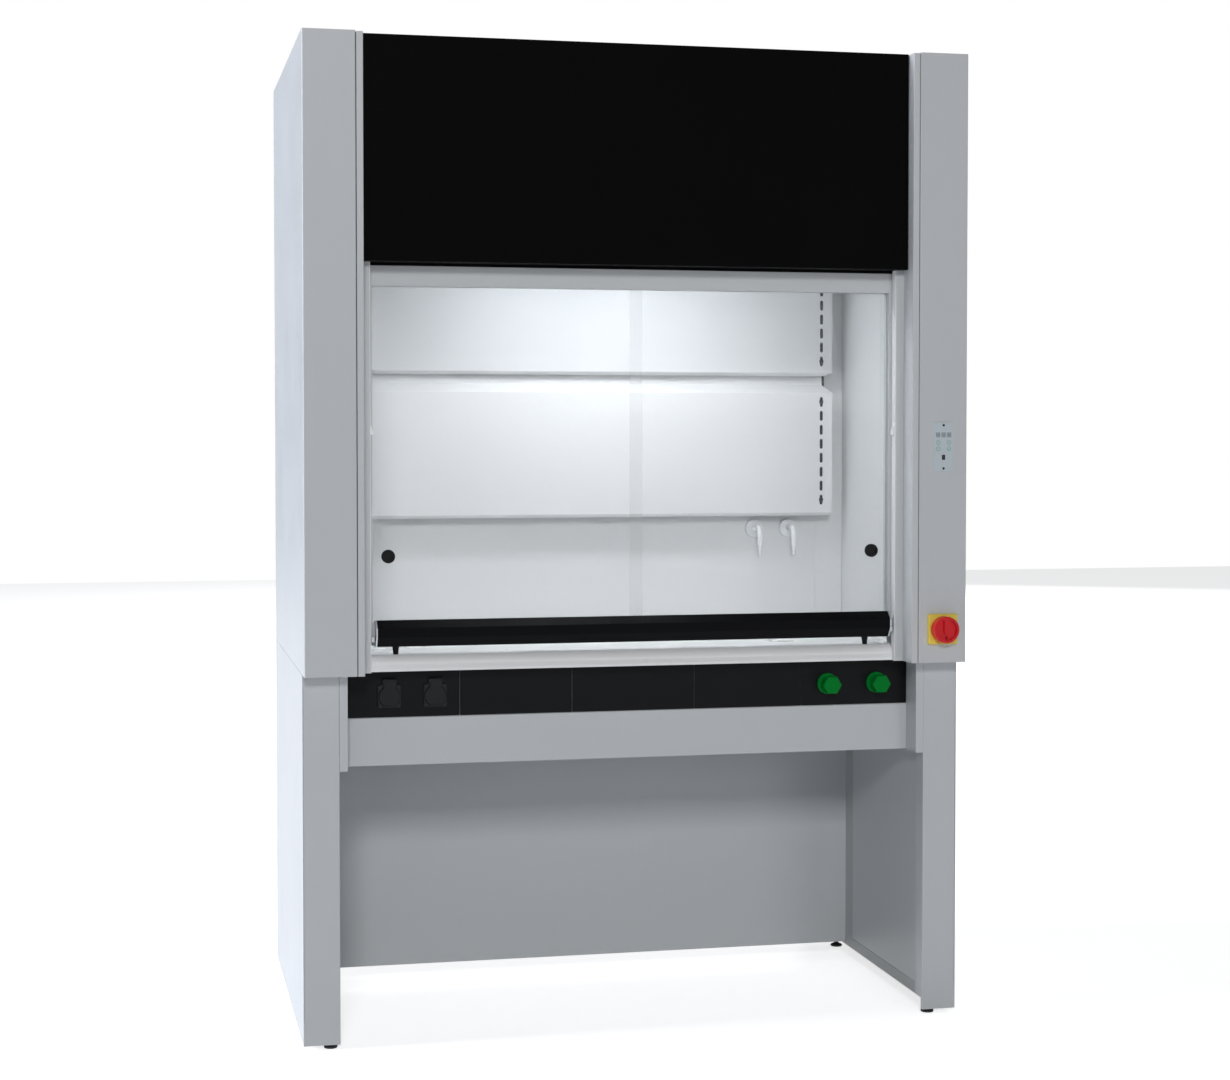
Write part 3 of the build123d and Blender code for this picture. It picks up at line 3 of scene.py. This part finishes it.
import bpy
import numpy as np
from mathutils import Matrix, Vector


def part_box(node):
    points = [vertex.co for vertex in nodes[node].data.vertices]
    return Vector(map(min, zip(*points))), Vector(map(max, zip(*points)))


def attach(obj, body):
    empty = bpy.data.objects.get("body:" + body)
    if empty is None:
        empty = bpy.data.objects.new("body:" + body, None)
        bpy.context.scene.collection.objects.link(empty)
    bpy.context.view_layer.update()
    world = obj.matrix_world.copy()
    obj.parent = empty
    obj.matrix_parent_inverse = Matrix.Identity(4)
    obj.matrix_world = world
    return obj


# Looks of a walk-up laboratory fume hood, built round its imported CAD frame. Metres, +Z up.

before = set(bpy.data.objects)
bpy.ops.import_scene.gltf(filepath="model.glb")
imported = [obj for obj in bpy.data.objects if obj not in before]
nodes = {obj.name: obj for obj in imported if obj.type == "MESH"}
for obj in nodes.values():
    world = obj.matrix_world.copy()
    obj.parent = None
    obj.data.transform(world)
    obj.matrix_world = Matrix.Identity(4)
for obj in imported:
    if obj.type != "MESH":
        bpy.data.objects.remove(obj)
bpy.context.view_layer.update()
print("frame loaded:", len(nodes), "nodes")


# Colours and nodes

# Turns an sRGB hex value into the linear colour that a shader takes.
def linearColour(hexColour):
    parts = [int(hexColour[i:i + 2], 16) / 255 for i in (1, 3, 5)]
    linear = [c / 12.92 if c <= 0.04045 else ((c + 0.055) / 1.055) ** 2.4 for c in parts]
    return (*linear, 1.0)


# Adds one node, sets its options, and fills or links its inputs.
def addNode(tree, kind, settings=None, inputs=None):
    node = tree.nodes.new(kind)
    for name, value in (settings or {}).items():
        setattr(node, name, value)
    for name, value in (inputs or {}).items():
        if isinstance(value, bpy.types.NodeSocket):
            tree.links.new(value, node.inputs[name])
        else:
            node.inputs[name].default_value = value
    return node


# An empty material with one Principled shader, its constant values set on the sockets.
def newMaterial(name, hexColour, roughness, metallic=0.0, **sockets):
    material = bpy.data.materials.new(name)
    material.use_nodes = True
    tree = material.node_tree
    tree.nodes.clear()
    shader = addNode(tree, "ShaderNodeBsdfPrincipled", None, {
        "Base Color": linearColour(hexColour),
        "Roughness": roughness,
        "Metallic": metallic,
    })
    for socket, value in sockets.items():
        shader.inputs[socket].default_value = value
    addNode(tree, "ShaderNodeOutputMaterial", None, {"Surface": shader.outputs["BSDF"]})
    return material, tree, shader


# Turns a height pattern into a bump on the shader's normal.
def addBump(tree, shader, height, strength, distance):
    bump = addNode(tree, "ShaderNodeBump", None, {
        "Height": height, "Strength": strength, "Distance": distance,
    })
    tree.links.new(bump.outputs["Normal"], shader.inputs["Normal"])


# Slow drift of colour and gloss over a surface, as from uneven coating and handling.
def addUnevenness(tree, shader, place, hexColour, patchMm, shade, roughness, spread):
    drift = addNode(tree, "ShaderNodeTexNoise", None, {
        "Vector": place.outputs["Object"], "Scale": 1000 / patchMm, "Detail": 3.0, "Roughness": 0.6,
    })
    colour = linearColour(hexColour)
    tint = addNode(tree, "ShaderNodeMix", {"data_type": "RGBA"})
    tree.links.new(drift.outputs["Fac"], tint.inputs[0])
    tint.inputs[6].default_value = [c * (1 - shade) for c in colour[:3]] + [1]
    tint.inputs[7].default_value = [min(1, c * (1 + shade)) for c in colour[:3]] + [1]
    tree.links.new(tint.outputs[2], shader.inputs["Base Color"])
    gloss = addNode(tree, "ShaderNodeMapRange", None, {
        "Value": drift.outputs["Fac"], "From Min": 0.3, "From Max": 0.7,
        "To Min": roughness - spread, "To Max": roughness + spread,
    })
    tree.links.new(gloss.outputs["Result"], shader.inputs["Roughness"])


# Finishes, each named for the real material and how its surface was made, save the baffle rail, whose near-black
# colour is painted shade

powderCoat = {"peelMm": 1.6, "peelDepthMm": 0.01, "roughness": 0.42, "patchMm": 160, "shade": 0.012}


# Powder coat baked on sheet steel: even colour, satin, with a faint orange peel.
def polyesterPowderCoat(name, hexColour, roughness=powderCoat["roughness"], gloss=0.5):
    material, tree, shader = newMaterial(name, hexColour, roughness)
    shader.inputs["Specular IOR Level"].default_value = gloss
    place = addNode(tree, "ShaderNodeTexCoord")
    peel = addNode(tree, "ShaderNodeTexNoise", None, {
        "Vector": place.outputs["Object"], "Scale": 1000 / powderCoat["peelMm"], "Detail": 1.0,
    })
    addBump(tree, shader, peel.outputs["Fac"], 0.15, powderCoat["peelDepthMm"] / 1000)
    addUnevenness(tree, shader, place, hexColour, powderCoat["patchMm"], powderCoat["shade"], roughness, 0.04)
    return material


moulded = {"grainMm": 0.8, "grainDepthMm": 0.02, "patchMm": 30, "shade": 0.02}


# Injection moulded plastic with a fine spark-eroded grain that softens its highlights.
def mouldedPlastic(name, hexColour, roughness, depth=1.0, gloss=0.5):
    material, tree, shader = newMaterial(name, hexColour, roughness)
    shader.inputs["Specular IOR Level"].default_value = gloss
    place = addNode(tree, "ShaderNodeTexCoord")
    grain = addNode(tree, "ShaderNodeTexNoise", None, {
        "Vector": place.outputs["Object"], "Scale": 1000 / moulded["grainMm"], "Detail": 2.0,
    })
    addBump(tree, shader, grain.outputs["Fac"], 0.2 * depth, moulded["grainDepthMm"] / 1000)
    addUnevenness(tree, shader, place, hexColour, moulded["patchMm"], moulded["shade"], roughness, 0.03)
    return material


brushed = {"lineMm": 0.35, "stretch": 0.02}


# Metal brushed one way: long fine lines that stretch the highlights across them.
def brushedMetal(name, hexColour, roughness, along="X"):
    material, tree, shader = newMaterial(name, hexColour, roughness, metallic=1.0)
    place = addNode(tree, "ShaderNodeTexCoord")
    scale = [1.0, 1.0, 1.0]
    scale["XYZ".index(along)] = brushed["stretch"]
    turned = addNode(tree, "ShaderNodeMapping", None, {
        "Vector": place.outputs["Object"], "Scale": scale,
    })
    lines = addNode(tree, "ShaderNodeTexNoise", None, {
        "Vector": turned.outputs["Vector"], "Scale": 1000 / brushed["lineMm"], "Detail": 2.0,
    })
    addBump(tree, shader, lines.outputs["Fac"], 0.15, 0.00002)
    return material


glass = {"colour": "#C4CCCB", "cover": 0.07, "smearMm": 140}


# Laminated float glass: clear, a faint grey green in its depth, with a wiped surface.
def floatGlass(name):
    material, tree, shader = newMaterial(name, glass["colour"], 0.02, Alpha=glass["cover"], IOR=1.5)
    place = addNode(tree, "ShaderNodeTexCoord")
    wiped = addNode(tree, "ShaderNodeTexNoise", None, {
        "Vector": place.outputs["Object"], "Scale": 1000 / glass["smearMm"], "Detail": 4.0, "Distortion": 1.5,
    })
    film = addNode(tree, "ShaderNodeMapRange", None, {
        "Value": wiped.outputs["Fac"], "From Min": 0.35, "From Max": 0.75, "To Min": 0.01, "To Max": 0.07,
    })
    tree.links.new(film.outputs["Result"], shader.inputs["Roughness"])
    return material


lamp = {"tubePitchMm": 70, "glow": 13.5, "beamWatts": 0.6, "beamDegrees": 110, "beamDrop": 0.004}


# Opal acrylic in front of the tubes: a white glow, a little stronger under each tube.
def opalDiffuser(name, glow):
    material, tree, shader = newMaterial(name, "#F4F6F8", 0.35)
    shader.inputs["Emission Color"].default_value = linearColour("#F6FAFF")
    place = addNode(tree, "ShaderNodeTexCoord")
    parts = addNode(tree, "ShaderNodeSeparateXYZ", None, {"Vector": place.outputs["Object"]})
    wave = addNode(tree, "ShaderNodeMath", {"operation": "MULTIPLY"})
    tree.links.new(parts.outputs["Y"], wave.inputs[0])
    wave.inputs[1].default_value = 2 * math.pi * 1000 / lamp["tubePitchMm"]
    crest = addNode(tree, "ShaderNodeMath", {"operation": "COSINE"})
    tree.links.new(wave.outputs[0], crest.inputs[0])
    level = addNode(tree, "ShaderNodeMapRange", None, {
        "Value": crest.outputs[0], "From Min": -1.0, "From Max": 1.0, "To Min": 0.85 * glow, "To Max": 1.15 * glow,
    })
    tree.links.new(level.outputs["Result"], shader.inputs["Emission Strength"])
    return material


coatGrey = polyesterPowderCoat("polyester powder coat, light grey", "#C6C9CC")
coatSash = polyesterPowderCoat("polyester powder coat, sash profiles", "#C9CCCE", 0.38)
coatFrame = polyesterPowderCoat("polyester powder coat, frame grey", "#B4B7B9", 0.5)
linerWhite = polyesterPowderCoat("epoxy powder coat, white liner", "#E2E3E4", 0.4)
fasciaBlack = polyesterPowderCoat("polyester powder coat, deep black", "#09090A", 0.4, 0.02)
panelBlack = mouldedPlastic("black ABS service panel, moulded", "#101113", 0.42, 1.0, 0.1)
socketBlack = mouldedPlastic("black polyamide, moulded", "#131415", 0.45, 1.0, 0.2)
worktopWhite = polyesterPowderCoat("glazed stoneware worktop", "#F0F1F2", 0.3)
handleBlack = polyesterPowderCoat("black anodised aluminium handle", "#0B0C0E", 0.4, 0.05)
# The baffle rails get a near-black colour as painted shade, standing for the shade seen through the baffle slots;
# the real rail is stainless or white.
railPaintedShade = polyesterPowderCoat("steel rail, near black as painted shade behind the slots", "#232425", 0.6, 0.2)
guideWhite = mouldedPlastic("white polyethylene slide strip", "#F4F5F6", 0.4)
capSteel = brushedMetal("brushed stainless end cap", "#B9BCC0", 0.35, "Z")
bufferRubber = mouldedPlastic("black rubber, moulded", "#0E0E0F", 0.7, 1.0, 0.2)
paneGlass = floatGlass("laminated float glass")
pullBlack = mouldedPlastic("black polyamide finger pull", "#0B0B0C", 0.5, 1.0, 0.2)
valveGreen = mouldedPlastic("green polyamide tap, moulded", "#007A2B", 0.4, 1.0, 0.06)
nozzleWhite = mouldedPlastic("white polypropylene nozzle, moulded", "#EDF0F2", 0.3)
switchYellow = mouldedPlastic("yellow polyamide switch plate", "#EAD04E", 0.3)
switchRed = mouldedPlastic("red polyamide switch knob", "#D81A24", 0.25, 1.0, 0.25)
controlFilm = mouldedPlastic("printed polyester film, pale blue grey", "#C2CDD4", 0.4)
keyFilm = mouldedPlastic("embossed key, pale blue grey", "#C6D1D6", 0.35)
rockerBlack = mouldedPlastic("black rocker, moulded", "#08090C", 0.4)
opalLamp = opalDiffuser("opal acrylic lamp diffuser", lamp["glow"])
zincSteel = brushedMetal("zinc plated steel", "#B2B6B8", 0.4, "X")
wireRope = brushedMetal("galvanised wire rope", "#A4A8AA", 0.45, "Z")
castWeight = polyesterPowderCoat("dark primer on cast iron", "#3A3C3F", 0.6)
turnedAluminium = brushedMetal("turned aluminium pulley", "#C2C5C8", 0.35, "X")
footBlack = mouldedPlastic("black polyamide foot, moulded", "#1A1B1C", 0.5)
screwBlack = mouldedPlastic("black oxide screw", "#111213", 0.45, 1.0, 0.3)

finishes = {
    "front_posts": coatGrey, "leg_frames": coatFrame, "leg_skins": coatGrey, "knee_panel": coatGrey,
    "apron": coatGrey, "service_panels": panelBlack, "socket_bodies": socketBlack,
    "valve_bodies": valveGreen, "worktop": worktopWhite, "column_covers": coatGrey,
    "sash_posts": coatSash, "sash_guides": guideWhite, "side_panels": coatGrey,
    "liners": linerWhite, "back_wall": linerWhite,
    "baffle_upper": linerWhite, "baffle_lower": linerWhite, "baffle_hangers": railPaintedShade,
    "ceiling": linerWhite, "lamp_housing": coatFrame, "lamp_diffuser": opalLamp,
    "exhaust_plenum": coatFrame, "fascia": fasciaBlack, "top_frame": coatFrame, "rear_cover": coatGrey,
    "hose_nozzles": nozzleWhite, "control_plate": controlFilm, "main_switch_plate": switchYellow,
    "shaft_brackets": zincSteel, "screws": screwBlack, "lift_cables": wireRope,
    "sash_frame": coatSash, "sash_handle": handleBlack, "handle_caps": capSteel,
    "sash_buffers": bufferRubber, "cable_brackets": zincSteel,
    "pane_left": paneGlass, "pane_right": paneGlass,
    "finger_pull_left": pullBlack, "finger_pull_right": pullBlack,
    "counterweight_left": castWeight, "counterweight_right": castWeight,
    "sync_shaft": zincSteel, "cable_pulleys": turnedAluminium,
    "valve_knob_left": valveGreen, "valve_knob_right": valveGreen,
    "socket_lid_left": socketBlack, "socket_lid_right": socketBlack,
    "main_switch_knob": switchRed, "control_rocker": rockerBlack,
    "sash_stop_left": guideWhite, "sash_stop_right": guideWhite,
}
for name, node in nodes.items():
    finish = finishes.get(name)
    if name.startswith("control_key"):
        finish = keyFilm
    if name.startswith("foot"):
        finish = footBlack
    node.data.materials.clear()
    node.data.materials.append(finish)
print("finishes given to the CAD nodes")


# Meshes worked out on grids

# A surface through a grid of points: each cell of four neighbours is one face.
def gridMesh(name, points, material, body, closeU=False, closeV=False, smooth=True):
    rows, columns = points.shape[:2]
    index = np.arange(rows * columns).reshape(rows, columns)
    if closeU:
        index = np.vstack([index, index[:1]])
    if closeV:
        index = np.hstack([index, index[:, :1]])
    faces = np.stack([index[:-1, :-1], index[:-1, 1:], index[1:, 1:], index[1:, :-1]], axis=-1)
    mesh = bpy.data.meshes.new(name)
    mesh.from_pydata(points.reshape(-1, 3).tolist(), [], faces.reshape(-1, 4).tolist())
    mesh.polygons.foreach_set("use_smooth", [smooth] * len(mesh.polygons))
    mesh.materials.append(material)
    mesh.update()
    piece = bpy.data.objects.new(name, mesh)
    bpy.context.scene.collection.objects.link(piece)
    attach(piece, body)
    return piece


# Thin plates that stand on a front face: each outline, in X and Z, is pushed out to the front.
def flatPiece(name, outlines, faceY, thickness, material, body):
    layers, faces, start = [], [], 0
    for outline in outlines:
        outline = np.asarray(outline, float)
        count = len(outline)
        for y in (faceY, faceY - thickness):
            layers.append(np.insert(outline, 1, y, axis=1))
        here = start + np.arange(count)
        after = np.roll(here, -1)
        faces += [here[::-1].tolist(), (here + count).tolist()]
        faces += np.stack([here, after, after + count, here + count], axis=-1).tolist()
        start += 2 * count
    mesh = bpy.data.meshes.new(name)
    mesh.from_pydata(np.vstack(layers).tolist(), [], faces)
    mesh.materials.append(material)
    mesh.update()
    piece = bpy.data.objects.new(name, mesh)
    bpy.context.scene.collection.objects.link(piece)
    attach(piece, body)
    return piece


# A flat printed ring: a square section swept once round its centre.
def flatRing(name, centre, faceY, inner, outer, thickness, material, body, segments=40):
    turn = np.linspace(0, 2 * math.pi, segments, endpoint=False)
    section = [(inner, 0), (outer, 0), (outer, -thickness), (inner, -thickness)]
    points = np.empty((segments, 4, 3))
    for i, (radius, depth) in enumerate(section):
        points[:, i, 0] = centre[0] + radius * np.cos(turn)
        points[:, i, 1] = faceY + depth
        points[:, i, 2] = centre[1] + radius * np.sin(turn)
    return gridMesh(name, points, material, body, closeU=True, closeV=True, smooth=False)


# Print on the control plate: three display windows with unlit digits, and green rings on the keys

mm = 0.001
printing = {
    "thickness": 0.05 * mm, "windowWidth": 10.6 * mm, "windowHeight": 11.6 * mm,
    "digitWidth": 3.0 * mm, "digitHeight": 6.0 * mm, "digitGap": 1.0 * mm, "stroke": 0.75 * mm,
    "ringInner": 4.0 * mm, "ringOuter": 4.9 * mm, "markSize": 1.7 * mm, "markStroke": 0.55 * mm,
    "frameWidth": 1.0 * mm, "frameGap": 0.4 * mm, "frameThickness": 0.4 * mm,
    "windowRise": 27.2 * mm, "windowPitch": 13.2 * mm, "clearance": 0.02 * mm,
}
windowGrey = mouldedPlastic("tinted display window", "#9FA8AC", 0.2)
digitGrey = mouldedPlastic("unlit display segment", "#6E777B", 0.35)
inkGreen = mouldedPlastic("green screen print", "#3F9C78", 0.5)
frameInk = mouldedPlastic("grey screen print", "#DDE4E8", 0.5)


# A rectangle between two corners, in X and Z.
def bar(x0, z0, x1, z1):
    return [(x0, z0), (x1, z0), (x1, z1), (x0, z1)]


# The seven bars of one unlit digit, centred at x and z.
def digitBars(x, z):
    w, h, t = printing["digitWidth"] / 2, printing["digitHeight"] / 2, printing["stroke"] / 2
    gap = t * 1.25
    flats = [bar(x - w + gap, z + k * h - t, x + w - gap, z + k * h + t) for k in (-1, 0, 1)]
    upper = [bar(x + i * w - t, z + gap, x + i * w + t, z + (h - gap)) for i in (-1, 1)]
    lower = [bar(x + i * w - t, z - (h - gap), x + i * w + t, z - gap) for i in (-1, 1)]
    return flats + upper + lower


# Windows, digits, rings and marks, placed from the boxes of the plate, keys and rocker.
def controlPrint():
    low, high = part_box("control_plate")
    faceY = low[1]
    printY = faceY - printing["clearance"]
    middleX, middleZ = (low[0] + high[0]) / 2, (low[2] + high[2]) / 2
    thin = printing["thickness"]
    windowZ = middleZ + printing["windowRise"]
    windows, digits = [], []
    for i in (-1, 0, 1):
        x = middleX + printing["windowPitch"] * i
        w, h = printing["windowWidth"] / 2, printing["windowHeight"] / 2
        windows.append(bar(x - w, windowZ - h, x + w, windowZ + h))
        for side in (-1, 1):
            offset = (printing["digitWidth"] + printing["digitGap"] + printing["stroke"]) / 2
            digits += digitBars(x + side * offset, windowZ)
    flatPiece("display_windows", windows, printY, thin, windowGrey, "hood")
    flatPiece("display_digits", digits, printY - thin, thin, digitGrey, "hood")
    for number in (1, 2, 3, 4):
        keyLow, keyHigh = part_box(f"control_key_{number}")
        x, z = (keyLow[0] + keyHigh[0]) / 2, (keyLow[2] + keyHigh[2]) / 2
        keyFace = keyLow[1] - printing["clearance"]
        body = f"control_key_{number}_body"
        flatRing(f"key_ring_{number}", (x, z), keyFace, printing["ringInner"], printing["ringOuter"],
                 thin, inkGreen, body)
        size, stroke = printing["markSize"], printing["markStroke"]
        marks = {
            1: [[(x - size, z - size / 2), (x + size, z - size / 2), (x, z + size)]],
            2: [[(x + size, z + size / 2), (x - size, z + size / 2), (x, z - size)]],
            3: [bar(x - size, z - stroke, x + size, z + stroke)],
            4: [bar(x - size, z - size, x - size + stroke, z + size),
                bar(x + size - stroke, z - size, x + size, z + size),
                bar(x - size + stroke, z - size, x + size - stroke, z - size + stroke),
                bar(x - size + stroke, z + size - stroke, x + size - stroke, z + size)],
        }[number]
        flatPiece(f"key_mark_{number}", marks, keyFace, thin, inkGreen, body)
    rockerLow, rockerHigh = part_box("control_rocker")
    x0, x1, z0, z1 = rockerLow[0], rockerHigh[0], rockerLow[2], rockerHigh[2]
    rim, gap = printing["frameWidth"], printing["frameGap"]
    frameBars = [
        bar(x0 - gap - rim, z0 - gap - rim, x1 + gap + rim, z0 - gap),
        bar(x0 - gap - rim, z1 + gap, x1 + gap + rim, z1 + gap + rim),
        bar(x0 - gap - rim, z0 - gap, x0 - gap, z1 + gap), bar(x1 + gap, z0 - gap, x1 + gap + rim, z1 + gap),
    ]
    flatPiece("rocker_frame", frameBars, printY, printing["frameThickness"], frameInk, "hood")


controlPrint()
print("control print made")


# Room: floor, backdrop colour, lamps and camera

room = {
    "floorSize": 30.0,
    "floorColour": "#F2F3F4",
    "skyLevel": 0.09,
    "floorGlow": 0.70,
    "whiteLevel": 1.0,
}


# A pale floor that the camera and the glossy rays see as white, with the hood's shadow on it.
def studioFloor():
    size = room["floorSize"] / 2
    mesh = bpy.data.meshes.new("floor")
    corners = [(-size, -size, 0), (size, -size, 0), (size, size, 0), (-size, size, 0)]
    mesh.from_pydata(corners, [], [(0, 1, 2, 3)])
    floor = bpy.data.objects.new("floor", mesh)
    bpy.context.scene.collection.objects.link(floor)
    material = bpy.data.materials.new("pale studio floor")
    material.use_nodes = True
    tree = material.node_tree
    tree.nodes.clear()
    matt = addNode(tree, "ShaderNodeBsdfDiffuse", None, {"Color": linearColour(room["floorColour"])})
    glow = addNode(tree, "ShaderNodeEmission", None, {"Color": (1, 1, 1, 1), "Strength": room["floorGlow"]})
    path = addNode(tree, "ShaderNodeLightPath")
    seen = addNode(tree, "ShaderNodeMath", {"operation": "MAXIMUM"})
    tree.links.new(path.outputs["Is Camera Ray"], seen.inputs[0])
    tree.links.new(path.outputs["Is Glossy Ray"], seen.inputs[1])
    seenAll = addNode(tree, "ShaderNodeMath", {"operation": "MAXIMUM"})
    tree.links.new(seen.outputs[0], seenAll.inputs[0])
    tree.links.new(path.outputs["Is Transmission Ray"], seenAll.inputs[1])
    both = addNode(tree, "ShaderNodeAddShader")
    tree.links.new(matt.outputs[0], both.inputs[0])
    tree.links.new(glow.outputs[0], both.inputs[1])
    pick = addNode(tree, "ShaderNodeMixShader")
    tree.links.new(seenAll.outputs[0], pick.inputs[0])
    tree.links.new(matt.outputs[0], pick.inputs[1])
    tree.links.new(both.outputs[0], pick.inputs[2])
    addNode(tree, "ShaderNodeOutputMaterial", None, {"Surface": pick.outputs[0]})
    mesh.materials.append(material)


# Even soft light from all round, and a white background for what the camera sees.
def studioWorld():
    world = bpy.data.worlds.new("studio")
    bpy.context.scene.world = world
    world.use_nodes = True
    tree = world.node_tree
    tree.nodes.clear()
    soft = addNode(tree, "ShaderNodeBackground", None, {
        "Color": linearColour("#F6F8FB"), "Strength": room["skyLevel"],
    })
    white = addNode(tree, "ShaderNodeBackground", None, {
        "Color": (1, 1, 1, 1), "Strength": room["whiteLevel"],
    })
    path = addNode(tree, "ShaderNodeLightPath")
    seen = addNode(tree, "ShaderNodeMath", {"operation": "MAXIMUM"})
    tree.links.new(path.outputs["Is Camera Ray"], seen.inputs[0])
    tree.links.new(path.outputs["Is Transmission Ray"], seen.inputs[1])
    pick = addNode(tree, "ShaderNodeMixShader")
    tree.links.new(seen.outputs[0], pick.inputs[0])
    tree.links.new(soft.outputs[0], pick.inputs[1])
    tree.links.new(white.outputs[0], pick.inputs[2])
    addNode(tree, "ShaderNodeOutputWorld", None, {"Surface": pick.outputs[0]})


# A square area lamp that points at the target.
def softbox(name, place, target, size, watts, hexColour="#FFFFFF"):
    light = bpy.data.lights.new(name, "AREA")
    light.shape = "SQUARE"
    light.size = size
    light.energy = watts
    light.color = linearColour(hexColour)[:3]
    stand = bpy.data.objects.new(name, light)
    bpy.context.scene.collection.objects.link(stand)
    stand.location = place
    stand.rotation_euler = (Vector(target) - Vector(place)).to_track_quat("-Z", "Y").to_euler()


studioFloor()
studioWorld()
softbox("left softbox", (-12.0, 0.5, 4.5), (-0.7, 0.0, 1.2), 3.0, 1400, "#F2F6FF")
softbox("front softbox", (-2.5, -13.0, 6.4), (0.0, 0.0, 1.1), 2.0, 560)
softbox("right front softbox", (4.0, -13.0, 3.0), (0.0, 0.0, 1.1), 3.0, 120)
softbox("back softbox", (6.0, 12.0, 4.5), (0.0, 0.0, 1.1), 3.0, 600)


# The downward part of the hood lamp's light, which falls on the worktop.
def chamberBeam():
    low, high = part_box("lamp_diffuser")
    light = bpy.data.lights.new("chamber beam", "AREA")
    light.shape = "RECTANGLE"
    light.size, light.size_y = high[0] - low[0], high[1] - low[1]
    light.energy = lamp["beamWatts"]
    light.spread = math.radians(lamp["beamDegrees"])
    beam = bpy.data.objects.new("chamber beam", light)
    bpy.context.scene.collection.objects.link(beam)
    beam.location = ((low[0] + high[0]) / 2, (low[1] + high[1]) / 2, low[2] - lamp["beamDrop"])


chamberBeam()

photoCamera = {
    "place": (-1.11937, -5.13439, 1.34436),
    "yaw": 0.219,
    "pitch": 0.031,
    "focalPixels": 2193.57,
    "imageSize": (1230, 1080),
    "principalPoint": (613.8, 500.3),
}


# Places the camera solved from the photograph, its lens and shift worked out from pixels.
def studioCamera():
    width, height = photoCamera["imageSize"]
    data = bpy.data.cameras.new("photo camera")
    data.sensor_width = 36.0
    data.lens = data.sensor_width * photoCamera["focalPixels"] / width
    data.shift_x = (width / 2 - photoCamera["principalPoint"][0]) / width
    data.shift_y = (photoCamera["principalPoint"][1] - height / 2) / width
    camera = bpy.data.objects.new("photo camera", data)
    bpy.context.scene.collection.objects.link(camera)
    camera.location = photoCamera["place"]
    camera.rotation_euler = (math.pi / 2 - photoCamera["pitch"], 0, -photoCamera["yaw"])
    bpy.context.scene.camera = camera


studioCamera()
bpy.context.scene.view_settings.view_transform = "Standard"
print("room, lamps and camera set")
